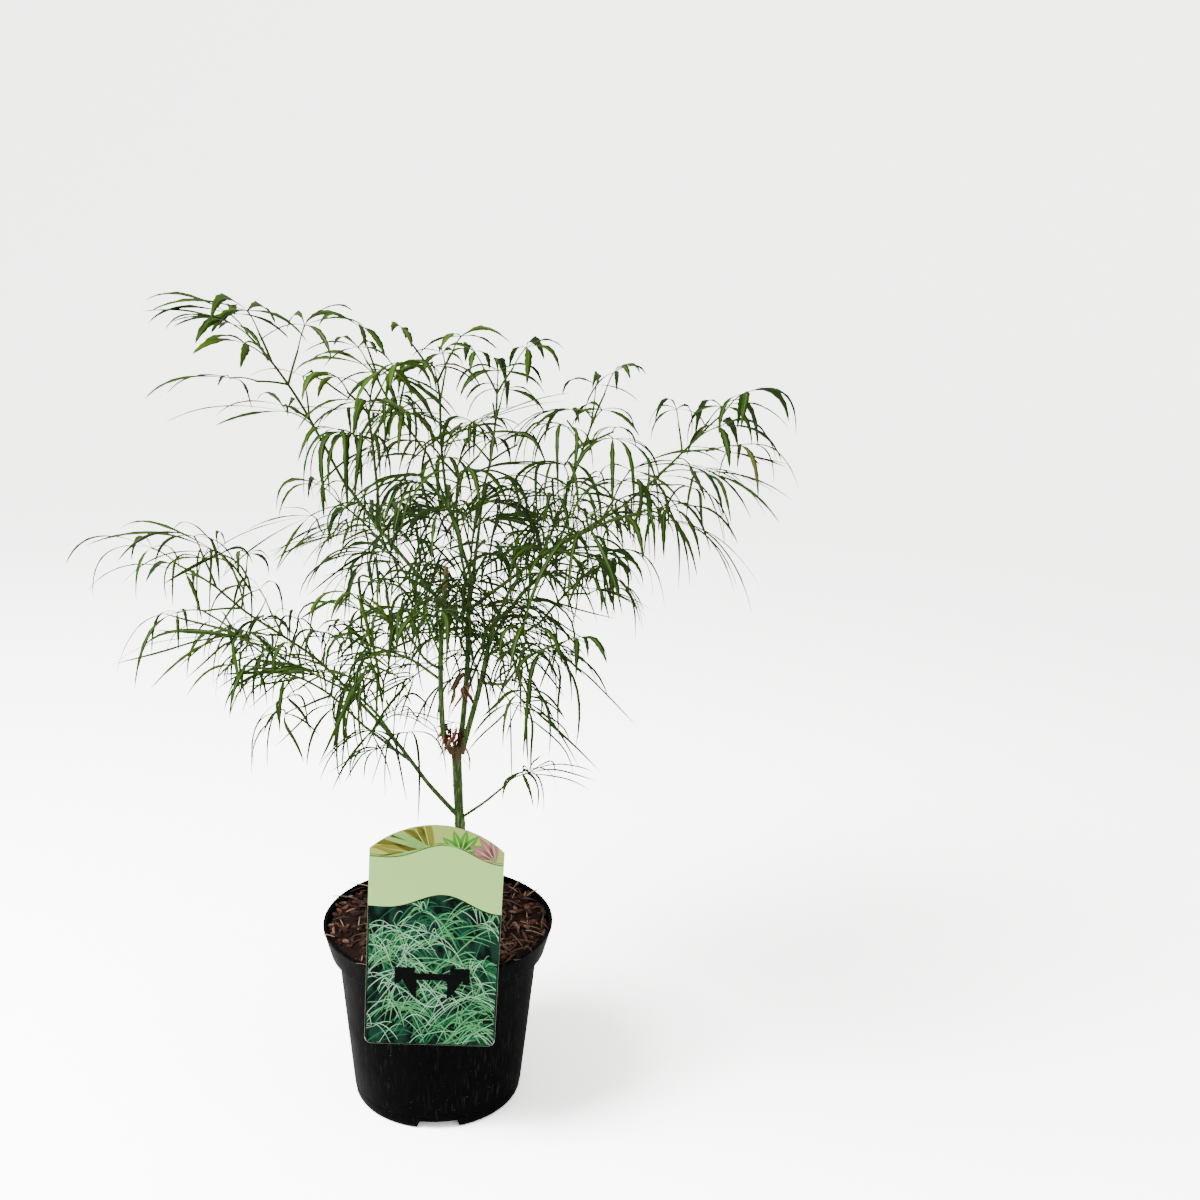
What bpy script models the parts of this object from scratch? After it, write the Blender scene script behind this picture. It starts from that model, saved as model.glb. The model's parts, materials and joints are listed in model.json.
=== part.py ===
"""Potted thread-leaf maple: nursery pot, bark substrate, hanging label with its clip, trunk,
stems, boughs, and one solid for each mass of foliage. Metres, +Z up, +Y away from the label.
The origin is on the pot's axis, on its flat underside."""

import math
import random
from collections import namedtuple

import bmesh
import bpy
import numpy as np
from mathutils import Matrix, Vector

# ---------------------------------------------------------------- driving dimensions
CLEARANCE = 0.0003  # gap that touching pieces keep

POT_HEIGHT = 0.155
RIM_RADIUS = 0.095  # outside, at the top of the collar
COLLAR_FOOT_RADIUS = 0.0893  # outside, at the bottom of the collar
COLLAR_HEIGHT = 0.0245
BODY_TOP_RADIUS = 0.083  # outside, where the wall meets the collar
BASE_RADIUS = 0.0702
WALL = 0.0016
RIM_WALL = 0.0028
FLOOR = 0.0022
POT_SIDES = 36

NOTCH_COUNT = 4  # drainage notches in the edge of the base
NOTCH_ANGLE = math.radians(29)
NOTCH_HEIGHT = 0.0072
NOTCH_DEPTH = 0.017
NOTCH_SIDES = 6
LEDGE_MARGIN = math.radians(5)
LEDGE_TOP = NOTCH_HEIGHT + 0.002  # the floor is raised over each notch

SUBSTRATE_LEVEL = 0.1505  # mean height of the bark surface
SUBSTRATE_CROWN = 0.1545  # flat patch that the trunk stands on
SUBSTRATE_LUMP = 0.0022
SUBSTRATE_RISE = 0.003  # from the rim to the middle
SUBSTRATE_RINGS = ((0.90, 0), (0.76, 0), (0.58, 0.42), (0.37, 0.63))  # radius, and draw to the trunk
SUBSTRATE_SIDES = 24
TRUNK_PATCH = 0.010

CARD_WIDTH = 0.1012
CARD_HEIGHT = 0.186
CARD_ARCH = 0.021  # rise of the arched top above its shoulders
CARD_THICKNESS = 0.0008
CARD_CORNER = 0.006
CARD_FOOT = 0.0980  # height of the card's bottom edge
CARD_CENTRE = (-0.0070, -0.1000, CARD_FOOT)  # middle of that edge
CARD_ROLL = math.radians(2.0)
CARD_YAW = math.radians(-3.0)
CLIP_WIDTH = 0.0575
CLIP_RIM_LEVEL = POT_HEIGHT - CARD_FOOT  # the rim's top, above the card's bottom edge
CLIP_PLATE = 0.0012  # how far the clip stands out before the card, and its thickness behind it
CLIP_REACH = 0.0122  # back over the rim

TRUNK_X = 0.0200  # where the trunk stands, on the pot's X axis
TRUNK_FOOT = SUBSTRATE_CROWN + CLEARANCE
TRUNK_SIDES = 10
LIMB_SIDES = 6
STEM_SIDES = 4
TWIG_SIDES = 3

# ---------------------------------------------------------------- limbs
# (x, z, radius) up the trunk: its flat cut at the substrate, the root flare, the swollen fork
TRUNK = [(TRUNK_X, TRUNK_FOOT, .0062), (.0198, TRUNK_FOOT + .005, .0048),
         (.0194, TRUNK_FOOT + .016, .0038), (.0172, .239, .0040), (.0163, .252, .0034),
         (.0142, .296, .0037), (.0137, .305, .0050)]

# points: up the limb, the first on the axis of what carries it. foot, tip: its radii.
Limb = namedtuple("Limb", "name points foot tip")

STEMS = [
    Limb("stem_left", [(.0105, -.001, .302), (.003, -.003, .323), (.001, -.008, .376),
                       (.002, -.010, .408), (.005, -.013, .456)], .0020, .0014),
    Limb("stem_middle", [(.0155, .003, .302), (.019, .006, .326), (.0225, .010, .377),
                         (.023, .012, .414), (.026, .014, .445)], .0020, .0015),
    Limb("stem_right", [(.0180, -.0015, .302), (.0225, -.003, .321), (.033, -.006, .364),
                        (.037, -.007, .387), (.044, -.010, .418)], .0021, .0014),
]
BOUGHS = [
    Limb("bough_low_left", [(.0185, .000, .243), (-.009, -.006, .278), (-.035, -.012, .318),
                            (-.069, -.020, .361)], .0017, .0011),
    Limb("bough_low_left_back", [(-.035, -.012, .318), (-.049, .016, .328), (-.063, .036, .335)],
         .0011, .0009),
    Limb("bough_low_left_front", [(-.022, -.009, .298), (-.040, -.034, .323), (-.055, -.056, .345)],
         .0011, .0009),
    Limb("bough_low_right", [(.0185, .000, .245), (.036, -.010, .262), (.049, -.018, .277)],
         .0010, .0008),
    Limb("bough_left_high", [(.0035, -.012, .429), (-.046, -.024, .494), (-.070, -.030, .529)],
         .0014, .0010),
    Limb("bough_left_upper", [(-.046, -.024, .494), (-.045, -.042, .517), (-.046, -.058, .541)],
         .0010, .0009),
    Limb("bough_left_middle", [(.0008, -.006, .366), (-.018, -.004, .380), (-.032, -.002, .386)],
         .0011, .0009),
    Limb("bough_front", [(.001, -.008, .376), (-.006, -.036, .389), (-.011, -.062, .402)],
         .0011, .0009),
    Limb("bough_front_right", [(.033, -.006, .364), (.041, -.034, .372), (.049, -.060, .381)],
         .0011, .0009),
    Limb("bough_front_top", [(.024, .013, .433), (.017, -.018, .467), (.014, -.042, .492)],
         .0011, .0009),
    Limb("bough_top", [(.026, .014, .443), (.012, .010, .487), (.006, .006, .510)], .0013, .0010),
    Limb("bough_top_left", [(.012, .010, .487), (.001, .012, .516), (-.007, .018, .537)],
         .0010, .0009),
    Limb("bough_top_right", [(.026, .014, .443), (.031, .026, .481), (.034, .034, .508)],
         .0012, .0009),
    Limb("bough_right_far", [(.0235, .012, .419), (.056, .020, .442), (.091, .026, .466),
                             (.137, .034, .493)], .0014, .0010),
    Limb("bough_right_upper", [(.080, .0245, .4595), (.093, .034, .486), (.101, .042, .507)],
         .0010, .0009),
    Limb("bough_right_low", [(.037, -.007, .386), (.057, -.010, .400), (.075, -.012, .413)],
         .0012, .0009),
    Limb("bough_right_middle", [(.044, -.010, .416), (.052, -.026, .442), (.062, -.042, .464)],
         .0011, .0009),
    Limb("bough_back", [(.0228, .010, .386), (.023, .040, .404), (.024, .066, .419)], .0012, .0009),
    Limb("bough_back_low", [(.0205, .008, .342), (.025, .036, .348), (.031, .062, .353)],
         .0011, .0009),
    Limb("bough_back_left", [(.0012, -.009, .396), (-.010, .026, .413), (-.022, .054, .428)],
         .0011, .0009),
    Limb("bough_back_right", [(.0392, -.0075, .396), (.052, .028, .407), (.066, .056, .418)],
         .0011, .0009),
]

# ---------------------------------------------------------------- foliage
# points: where a mass's own stem goes on to from its bough's tip. pairs: pairs of twigs along it.
# twig, leaf: their lengths. droop: how far a lobe falls, as a share of its length.
Mass = namedtuple("Mass", "bough points pairs twig leaf droop")

MASSES = [
    Mass("left_high", [(-.095, -.038, .579), (-.109, -.044, .604), (-.120, -.046, .620)],
         3, .026, .084, .36),
    Mass("left_upper", [(-.048, -.072, .570), (-.050, -.084, .590)], 2, .024, .076, .50),
    Mass("top_left", [(-.025, .028, .562), (-.040, .036, .582), (-.048, .042, .596)],
         2, .028, .076, .44),
    Mass("top", [(.001, .000, .554), (.000, -.008, .588), (-.002, -.014, .604)],
         3, .034, .076, .36),
    Mass("top_right", [(.040, .040, .535), (.044, .046, .566), (.045, .050, .588)],
         3, .026, .076, .46),
    Mass("right_upper", [(.116, .052, .546), (.122, .058, .562)], 2, .028, .078, .48),
    Mass("right_far", [(.169, .040, .517), (.196, .045, .543), (.207, .048, .553)],
         3, .030, .090, .58),
    Mass("right_low", [(.098, -.010, .438), (.119, -.012, .460)], 2, .031, .076, .60),
    Mass("right_middle", [(.088, -.064, .490), (.116, -.082, .510)], 2, .032, .086, .56),
    Mass("front_right", [(.058, -.088, .404), (.067, -.108, .420)], 2, .028, .068, .62),
    Mass("front", [(-.020, -.098, .428), (-.024, -.118, .442)], 2, .032, .070, .60),
    Mass("front_top", [(.012, -.072, .525), (.013, -.092, .546)], 2, .030, .076, .54),
    Mass("left_middle", [(-.053, .002, .392), (-.060, .004, .394)], 1, .026, .066, .56),
    Mass("low_left", [(-.097, -.026, .393), (-.142, -.034, .428), (-.166, -.040, .452)],
         4, .030, .091, .54),
    Mass("low_left_back", [(-.101, .062, .347), (-.130, .078, .356)], 2, .034, .078, .62),
    Mass("low_left_front", [(-.080, -.080, .380), (-.098, -.096, .398)], 2, .030, .068, .62),
    Mass("back", [(.027, .104, .444), (.029, .124, .458)], 2, .036, .080, .58),
    Mass("back_low", [(.038, .094, .359), (.044, .110, .364)], 2, .032, .072, .60),
    Mass("back_left", [(-.045, .096, .449), (-.060, .118, .461)], 2, .036, .080, .58),
    Mass("back_right", [(.096, .098, .437), (.114, .120, .448)], 2, .036, .079, .58),
    Mass("low_right", [(.053, -.022, .286), (.056, -.024, .290)], 0, .010, .062, .66),
]

SEED = 19
TWIG_ANGLE = math.radians(56)  # from the stem
TWIG_TURN = math.radians(66)  # from each pair of twigs to the next
FORK_ANGLE = math.radians(34)  # of the last pair, at the stem's tip
TWIG_LIFT = 0.12
TWIG_RADII = (0.0009, 0.0007)
SUNK = 0.0015  # how deep a twig or leaf is rooted in what carries it

STALK = 0.26  # a leaf's stalk, as a share of the leaf's length
STALK_HALF = 0.0006
STALK_DEPTH = 0.0011
HUB_RADIUS = 0.0015
HUB_DEPTH = 0.0013
HUB_ANGLES = (-132, -78, -26, 26, 78, 132)  # a lobe opens from each side, and the stalk from the last
LOBE_ANGLES = (-104, -52, 0, 52, 104)  # the lobes' spread round the stalk, in degrees
LOBE_LENGTHS = (0.66, 0.92, 1.0, 0.92, 0.66)
LOBE_WIDTH = 0.056  # at its widest, as a share of the leaf's length
LOBE_THICKNESS = 0.016
LOBE_STATIONS = ((0.30, 1.0), (0.66, 0.8), (1.0, 0.0))  # share of the way along, share of the width
LOBE_RISE = 0.12
LOBE_DRAW = 0.75  # how much a lobe that falls draws in
SHORTENED = (1.0, 0.84, 0.70, 0.58)

HANG = 0.022  # how far below its stem a mass's space lies
CELL_MARGIN = 0.0052  # how much nearer to its own stem than to any other a leaf stays
LIMB_MARGIN = 0.0040  # how far from the surface of every limb
TRIES = 10


# ---------------------------------------------------------------- materials
def material(name, colour, roughness, metallic=0.0):
    """A plain Principled material."""
    made = bpy.data.materials.new(name)
    made.use_nodes = True
    shader = made.node_tree.nodes["Principled BSDF"]
    shader.inputs["Base Color"].default_value = (*colour, 1.0)
    shader.inputs["Roughness"].default_value = roughness
    shader.inputs["Metallic"].default_value = metallic
    made.diffuse_color = (*colour, 1.0)
    return made


def make_materials():
    """The part's finishes, by name."""
    return {
        "pot": material("pot_plastic", (0.012, 0.012, 0.013), 0.42),
        "bark": material("bark_chips", (0.075, 0.035, 0.020), 0.90),
        "card": material("label_card", (0.50, 0.68, 0.42), 0.35),
        "clip": material("clip_plastic", (0.010, 0.010, 0.011), 0.40),
        "stem": material("stem_bark", (0.085, 0.150, 0.035), 0.55),
        "leaf": material("thread_leaf", (0.040, 0.130, 0.030), 0.50),
    }


# ---------------------------------------------------------------- meshes
def make_object(name, vertices, faces, finish=None):
    """A mesh object from points and faces, with its faces turned outwards."""
    mesh = bpy.data.meshes.new(name)
    mesh.from_pydata([tuple(v) for v in vertices], [], faces)
    work = bmesh.new()
    work.from_mesh(mesh)
    bmesh.ops.recalc_face_normals(work, faces=work.faces)
    work.to_mesh(mesh)
    work.free()
    if finish is not None:
        mesh.materials.append(finish)
    made = bpy.data.objects.new(name, mesh)
    bpy.context.scene.collection.objects.link(made)
    return made


def remove(objects):
    for old in list(objects):
        bpy.data.objects.remove(old)


def boolean(target, tool, operation, solver="EXACT"):
    """Cuts the target by a tool, or joins a collection to it, for good, and leaves one closed mesh."""
    change = target.modifiers.new("boolean", "BOOLEAN")
    change.operation = operation
    change.solver = solver
    if isinstance(tool, bpy.types.Collection):
        change.operand_type = "COLLECTION"
        change.collection = tool
    else:
        change.object = tool
    bpy.context.view_layer.update()
    graph = bpy.context.evaluated_depsgraph_get()
    result = bpy.data.meshes.new_from_object(target.evaluated_get(graph))
    target.modifiers.clear()
    old = target.data
    target.data = result
    result.name = target.name
    bpy.data.meshes.remove(old)


def keep_largest(target):
    """Drops loose scraps and sealed hollows, so that the mesh is one body."""
    work = bmesh.new()
    work.from_mesh(target.data)
    left = set(work.faces)
    shells = []
    while left:
        front = [left.pop()]
        shell = list(front)
        while front:
            near = {face for edge in front.pop().edges for face in edge.link_faces} & left
            left -= near
            front.extend(near)
            shell.extend(near)
        shells.append(shell)
    shells.sort(key=len)
    for scrap in shells[:-1]:
        bmesh.ops.delete(work, geom=scrap, context="FACES")
    work.to_mesh(target.data)
    work.free()


def turned(name, profile, sides, finish=None, angle=2 * math.pi, start=0.0):
    """A closed profile of (radius, height) points turned round the Z axis, whole or through an angle."""
    whole = angle >= 2 * math.pi
    steps = sides if whole else sides + 1
    vertices, faces = [], []
    for k in range(steps):
        a = start + angle * k / sides
        vertices += [(r * math.cos(a), r * math.sin(a), z) for r, z in profile]
    count = len(profile)
    for k in range(sides):
        near, far = k * count, ((k + 1) % steps) * count
        for i in range(count):
            j = (i + 1) % count
            faces.append((near + i, near + j, far + j, far + i))
    if not whole:
        faces.append(tuple(range(count)))
        faces.append(tuple(range((steps - 1) * count, steps * count)))
    made = make_object(name, vertices, faces, finish)
    work = bmesh.new()
    work.from_mesh(made.data)
    bmesh.ops.remove_doubles(work, verts=work.verts, dist=1e-6)
    bmesh.ops.recalc_face_normals(work, faces=work.faces)
    work.to_mesh(made.data)
    work.free()
    return made


def smooth(points, steps):
    """Points along a Catmull-Rom curve through the given ones, with some steps to each span."""
    p = [np.array(q, float) for q in points]
    p = [2 * p[0] - p[1], *p, 2 * p[-1] - p[-2]]
    out = []
    for i in range(1, len(p) - 2):
        for k in range(steps):
            t = k / steps
            out.append(0.5 * (2 * p[i] + (p[i + 1] - p[i - 1]) * t
                              + (2 * p[i - 1] - 5 * p[i] + 4 * p[i + 1] - p[i + 2]) * t * t
                              + (3 * p[i] - p[i - 1] - 3 * p[i + 1] + p[i + 2]) * t ** 3))
    return [*out, p[-2]]


def unit(vector):
    return vector / np.linalg.norm(vector)


def sleeve_faces(rings, sides):
    """The faces of a closed sleeve whose points run ring by ring, with a flat end at each end."""
    faces = []
    for ring in range(rings - 1):
        for k in range(sides):
            a, b = ring * sides + k, ring * sides + (k + 1) % sides
            faces.append((a, b, b + sides, a + sides))
    faces.append(tuple(range(sides)))
    faces.append(tuple(range((rings - 1) * sides, rings * sides)))
    return faces


def tube(path, radii, sides):
    """(points, faces) of a closed tube along a path, turned as little as possible from ring to ring."""
    path = [np.array(p, float) for p in path]
    ways = [unit(path[min(i + 1, len(path) - 1)] - path[max(i - 1, 0)]) for i in range(len(path))]
    across = unit(np.cross(ways[0], (0.31, 0.87, 0.38)))
    vertices = []
    for p, way, radius in zip(path, ways, radii):
        across = unit(across - way * np.dot(across, way))
        other = np.cross(way, across)
        for k in range(sides):
            a = 2 * math.pi * k / sides
            vertices.append(p + radius * (math.cos(a) * across + math.sin(a) * other))
    return vertices, sleeve_faces(len(path), sides)


def tapered(foot, tip, count):
    """Radii that shrink evenly."""
    return [foot + (tip - foot) * i / (count - 1) for i in range(count)]


# ---------------------------------------------------------------- pot, substrate, label
def arc_block(name, inner, outer, low, high, middle, angle):
    """A block between two radii and two heights, through an angle about its middle direction."""
    profile = [(inner, low), (outer, low), (outer, high), (inner, high)]
    return turned(name, profile, NOTCH_SIDES, None, angle, middle - angle / 2)


def make_pot(finish):
    """A thin tapered pot with a deep collar. Ledges inside cover the notches in the edge of its base."""
    step = POT_HEIGHT - COLLAR_HEIGHT
    profile = [
        (0.0, 0.0), (BASE_RADIUS - 0.004, 0.0), (BASE_RADIUS, 0.004),
        (BODY_TOP_RADIUS, step), (COLLAR_FOOT_RADIUS, step + 0.0015),
        (RIM_RADIUS - 0.0004, POT_HEIGHT - 0.0032), (RIM_RADIUS, POT_HEIGHT - 0.0008),
        (RIM_RADIUS - 0.0010, POT_HEIGHT), (RIM_RADIUS - RIM_WALL, POT_HEIGHT - 0.0006),
        (COLLAR_FOOT_RADIUS - WALL, step + 0.0032), (BODY_TOP_RADIUS - WALL, step + 0.0012),
        (BASE_RADIUS - WALL, 0.006), (BASE_RADIUS - WALL - 0.003, FLOOR), (0.0, FLOOR),
    ]
    pot = turned("pot", profile, POT_SIDES, finish)
    notch_foot = BASE_RADIUS - NOTCH_DEPTH
    for k in range(NOTCH_COUNT):
        middle = -math.pi / 2 + 2 * math.pi * k / NOTCH_COUNT
        ledge = arc_block("ledge", notch_foot - FLOOR, BASE_RADIUS - WALL / 2, FLOOR / 2, LEDGE_TOP,
                          middle, NOTCH_ANGLE + LEDGE_MARGIN)
        notch = arc_block("notch", notch_foot, RIM_RADIUS, -FLOOR, NOTCH_HEIGHT, middle, NOTCH_ANGLE)
        boolean(pot, ledge, "UNION")
        boolean(pot, notch, "DIFFERENCE")
        remove([ledge, notch])


def make_substrate(finish):
    """Bark substrate that fills the pot, with a lumpy top and a flat patch under the trunk."""
    rng = random.Random(SEED)
    step = POT_HEIGHT - COLLAR_HEIGHT
    inside = WALL + 2 * CLEARANCE  # keeps clear of the flats between the pot's corners too
    rings = [
        (BASE_RADIUS - inside - 0.001, LEDGE_TOP + CLEARANCE, 0, 0),
        (BODY_TOP_RADIUS - inside - 0.0002, step + 0.0018, 0, 0),
        (COLLAR_FOOT_RADIUS - inside - 0.0004, step + 0.0042, 0, 0),
        (RIM_RADIUS - RIM_WALL - 0.0021, SUBSTRATE_LEVEL - 0.0012, 0, 0),
    ]
    for share, draw in SUBSTRATE_RINGS:
        rings.append((share * RIM_RADIUS, SUBSTRATE_LEVEL + SUBSTRATE_RISE * (1 - share), SUBSTRATE_LUMP,
                      draw * TRUNK_X))
    rings.append((TRUNK_PATCH, SUBSTRATE_CROWN, 0, TRUNK_X))
    vertices = []
    for radius, height, lump, shift in rings:
        for k in range(SUBSTRATE_SIDES):
            a = 2 * math.pi * k / SUBSTRATE_SIDES
            vertices.append((shift + radius * math.cos(a), radius * math.sin(a),
                             height + lump * rng.uniform(-1, 1)))
    make_object("substrate", vertices, sleeve_faces(len(rings), SUBSTRATE_SIDES), finish)


def card_place():
    """The card's own frame: X across it, Z up from its bottom edge, -Y to the front."""
    return (Matrix.Translation(CARD_CENTRE) @ Matrix.Rotation(CARD_YAW, 4, "Z")
            @ Matrix.Rotation(CARD_ROLL, 4, "Y"))


def plate(name, outline, front, back, finish=None):
    """A flat plate in the card's frame: an outline of (x, z) points between two depths."""
    place = card_place()
    count = len(outline)
    vertices = [place @ Vector((x, y, z)) for y in (front, back) for x, z in outline]
    faces = [tuple(range(count)), tuple(range(count, 2 * count))]
    faces += [(i, (i + 1) % count, count + (i + 1) % count, count + i) for i in range(count)]
    return make_object(name, vertices, faces, finish)


def card_outline():
    """Straight sides, rounded bottom corners, and a shallow arch across the top."""
    half, shoulder = CARD_WIDTH / 2, CARD_HEIGHT - CARD_ARCH
    outline = []
    for side, first in ((-1, math.pi), (1, 1.5 * math.pi)):
        for k in range(5):
            a = first + k * math.pi / 8
            outline.append((side * (half - CARD_CORNER) + CARD_CORNER * math.cos(a),
                            CARD_CORNER + CARD_CORNER * math.sin(a)))
    steps = 12
    for k in range(steps + 1):
        x = half * (1 - 2 * k / steps)
        outline.append((x, shoulder + CARD_ARCH * (1 - (x / half) ** 2) ** 0.9))
    return outline


def clip_outline(grow=0.0):
    """The clip as seen from the front: a bar with raised hooked ends, and two tapering legs."""
    half, bar, g = CLIP_WIDTH / 2, CLIP_RIM_LEVEL, grow
    right = [
        (0.0135 - g, bar + 0.0050 + g), (0.0135 - g, bar + 0.0098 + g), (half + g, bar + 0.0098 + g),
        (half + g, bar - 0.0035 - g), (half - 0.0030 - g, bar - 0.0035 - g),
        (half - 0.0060, bar + 0.0005 - g), (0.0205 + g, bar - 0.0045), (0.0165 + g, bar - 0.0110),
        (0.0118 + g, bar - 0.0165 - g), (0.0118 - g, bar - 0.0165 - g), (0.0118 - g, bar - g),
    ]
    left = [(-x, z) for x, z in reversed(right)]
    return right + left


def make_label(card_finish, clip_finish):
    """A card with a shaped cut, held on the rim by a clip that stands through the cut."""
    front, back = -CARD_THICKNESS / 2, CARD_THICKNESS / 2
    card = plate("label_card", card_outline(), front, back, card_finish)
    cut = plate("cut", clip_outline(CLEARANCE), -0.01, 0.01)
    boolean(card, cut, "DIFFERENCE")
    remove([cut])
    behind = back + CLEARANCE
    clip = plate("label_clip", clip_outline(), front - CLIP_PLATE, behind + 0.0002, clip_finish)
    bar, end = CLIP_RIM_LEVEL, behind + CLIP_REACH
    hook = [
        plate("backing", [(-0.024, bar - 0.012), (0.024, bar - 0.012), (0.024, bar + 0.012),
                          (-0.024, bar + 0.012)], behind, behind + CLIP_PLATE),
        plate("bridge", [(-0.014, bar + 0.0004), (0.018, bar + 0.0016), (0.018, bar + 0.0034),
                         (-0.014, bar + 0.0022)], behind + CLIP_PLATE / 2, end),
        plate("catch", [(-0.014, bar - 0.0012), (0.018, bar - 0.0002), (0.018, bar + 0.0028),
                        (-0.014, bar + 0.0016)], end - CLIP_PLATE, end),
    ]
    for piece in hook:
        boolean(clip, piece, "UNION")
    remove(hook)


# ---------------------------------------------------------------- limbs
def limb_path(limb):
    path = smooth(limb.points, 2)
    return path, tapered(limb.foot, limb.tip, len(path))


def trunk_path():
    return [np.array((x, 0, z)) for x, z, _ in TRUNK], [radius for _, _, radius in TRUNK]


def nearest(first, second):
    """The least distance between two sets of points."""
    return np.linalg.norm(first[:, None] - second[None], axis=2).min()


def dense(path, radii, spacing=0.002):
    """Points at an even spacing along a path, each with the radius there."""
    points, sizes = [], []
    for a, b, ra, rb in zip(path[:-1], path[1:], radii[:-1], radii[1:]):
        count = max(1, int(np.linalg.norm(b - a) / spacing))
        for k in range(count):
            points.append(a + (b - a) * k / count)
            sizes.append(ra + (rb - ra) * k / count)
    return np.array([*points, path[-1]]), np.array([*sizes, radii[-1]])


def grown(path, radii, sides):
    """A tool that is a limb grown by the clearance all over."""
    ahead = CLEARANCE * unit(path[-1] - path[-2])
    return make_object("tool", *tube([*path[:-1], path[-1] + ahead], [r + CLEARANCE for r in radii], sides))


def make_limbs(finish):
    """The trunk, stems and boughs, each cut clear of those made before. Gives their paths and radii."""
    path, radii = trunk_path()
    vertices, faces = tube(path, radii, TRUNK_SIDES)
    foot = [(x, y, path[0][2]) for x, y, _ in vertices[:TRUNK_SIDES]]
    make_object("trunk", [*foot, *vertices[TRUNK_SIDES:]], faces, finish)
    made = [(path, radii, TRUNK_SIDES)]
    for limb in [*STEMS, *BOUGHS]:
        path, radii = limb_path(limb)
        piece = make_object(limb.name, *tube(path, radii, LIMB_SIDES), finish)
        here, _ = dense(path, radii)
        for other in made:
            there, _ = dense(*other[:2])
            if nearest(here, there) < max(radii) + max(other[1]) + 0.002:
                tool = grown(*other)
                boolean(piece, tool, "DIFFERENCE")
                remove([tool])
        keep_largest(piece)
        made.append((path, radii, LIMB_SIDES))
    return [(path, radii) for path, radii, _ in made]


# ---------------------------------------------------------------- foliage: the rule
# hub: where the lobes meet. side, lift: the leaf's own axes. lobes: (direction, reach, fall) of each.
Leaf = namedtuple("Leaf", "root hub side lift length lobes")


def lobe_point(leaf, lobe, t):
    """A point on a lobe's middle line: out and a little up at first, then falling away."""
    out, reach, fall = lobe
    drop = np.array((0, 0, fall * t - LOBE_RISE))
    return leaf.hub + reach * t * (out * (1 - LOBE_DRAW * fall * t) - drop)


def grow_leaf(root, way, length, droop, rng, free):
    """A leaf with its stalk along a way, or None where it isn't free. A lobe is shortened to fit."""
    hub = root + way * length * STALK
    if not free(np.linspace(root, hub, 4)[1:]):
        return None
    flat = unit(np.array((way[0], way[1], min(way[2], 0.35) - 0.10)))
    side = unit(np.cross(flat, (0.0, 0.0, 1.0)))
    leaf = Leaf(root, hub, side, np.cross(side, flat), length, [])
    for angle, share in zip(LOBE_ANGLES, LOBE_LENGTHS):
        for shorter in SHORTENED:
            a = math.radians(angle + rng.uniform(-9, 9))
            out = unit(math.cos(a) * flat + math.sin(a) * side)
            lobe = (out, length * share * shorter * rng.uniform(0.9, 1.1), droop * rng.uniform(0.8, 1.2))
            if free(np.array([lobe_point(leaf, lobe, t) for t in np.linspace(0.1, 1.0, 8)])):
                leaf.lobes.append(lobe)
                break
        else:
            return None
    return leaf


def mass_stem(mass):
    """The path and radii of a mass's own stem, from just past its bough's tip."""
    bough = next(b for b in BOUGHS if b.name == "bough_" + mass.bough)
    path, _ = limb_path(bough)
    way = unit(path[-1] - path[-2])
    start = path[-1] + way * CLEARANCE
    on = start + way * 0.004
    path = [start, *smooth([on, *mass.points], 2)]
    return path, tapered(bough.tip, 0.0007, len(path))


class Space:
    """Says whether points keep to one mass's own space, and clear of every limb."""

    def __init__(self, limbs):
        hang = np.array((0, 0, HANG))
        self.stems = [dense(*mass_stem(mass), 0.004)[0] - hang for mass in MASSES]
        solid = [dense(path, radii) for path, radii in limbs]
        self.limb_points = np.concatenate([points for points, _ in solid])
        self.limb_radii = np.concatenate([radii for _, radii in solid])

    def holds(self, index, points):
        reach = [np.linalg.norm(points[:, None] - stem, axis=2).min(axis=1) for stem in self.stems]
        others = np.min([r for i, r in enumerate(reach) if i != index], axis=0)
        if (others - reach[index] < CELL_MARGIN).any():
            return False
        gaps = np.linalg.norm(points[:, None] - self.limb_points, axis=2) - self.limb_radii
        return gaps.min() > LIMB_MARGIN


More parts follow.
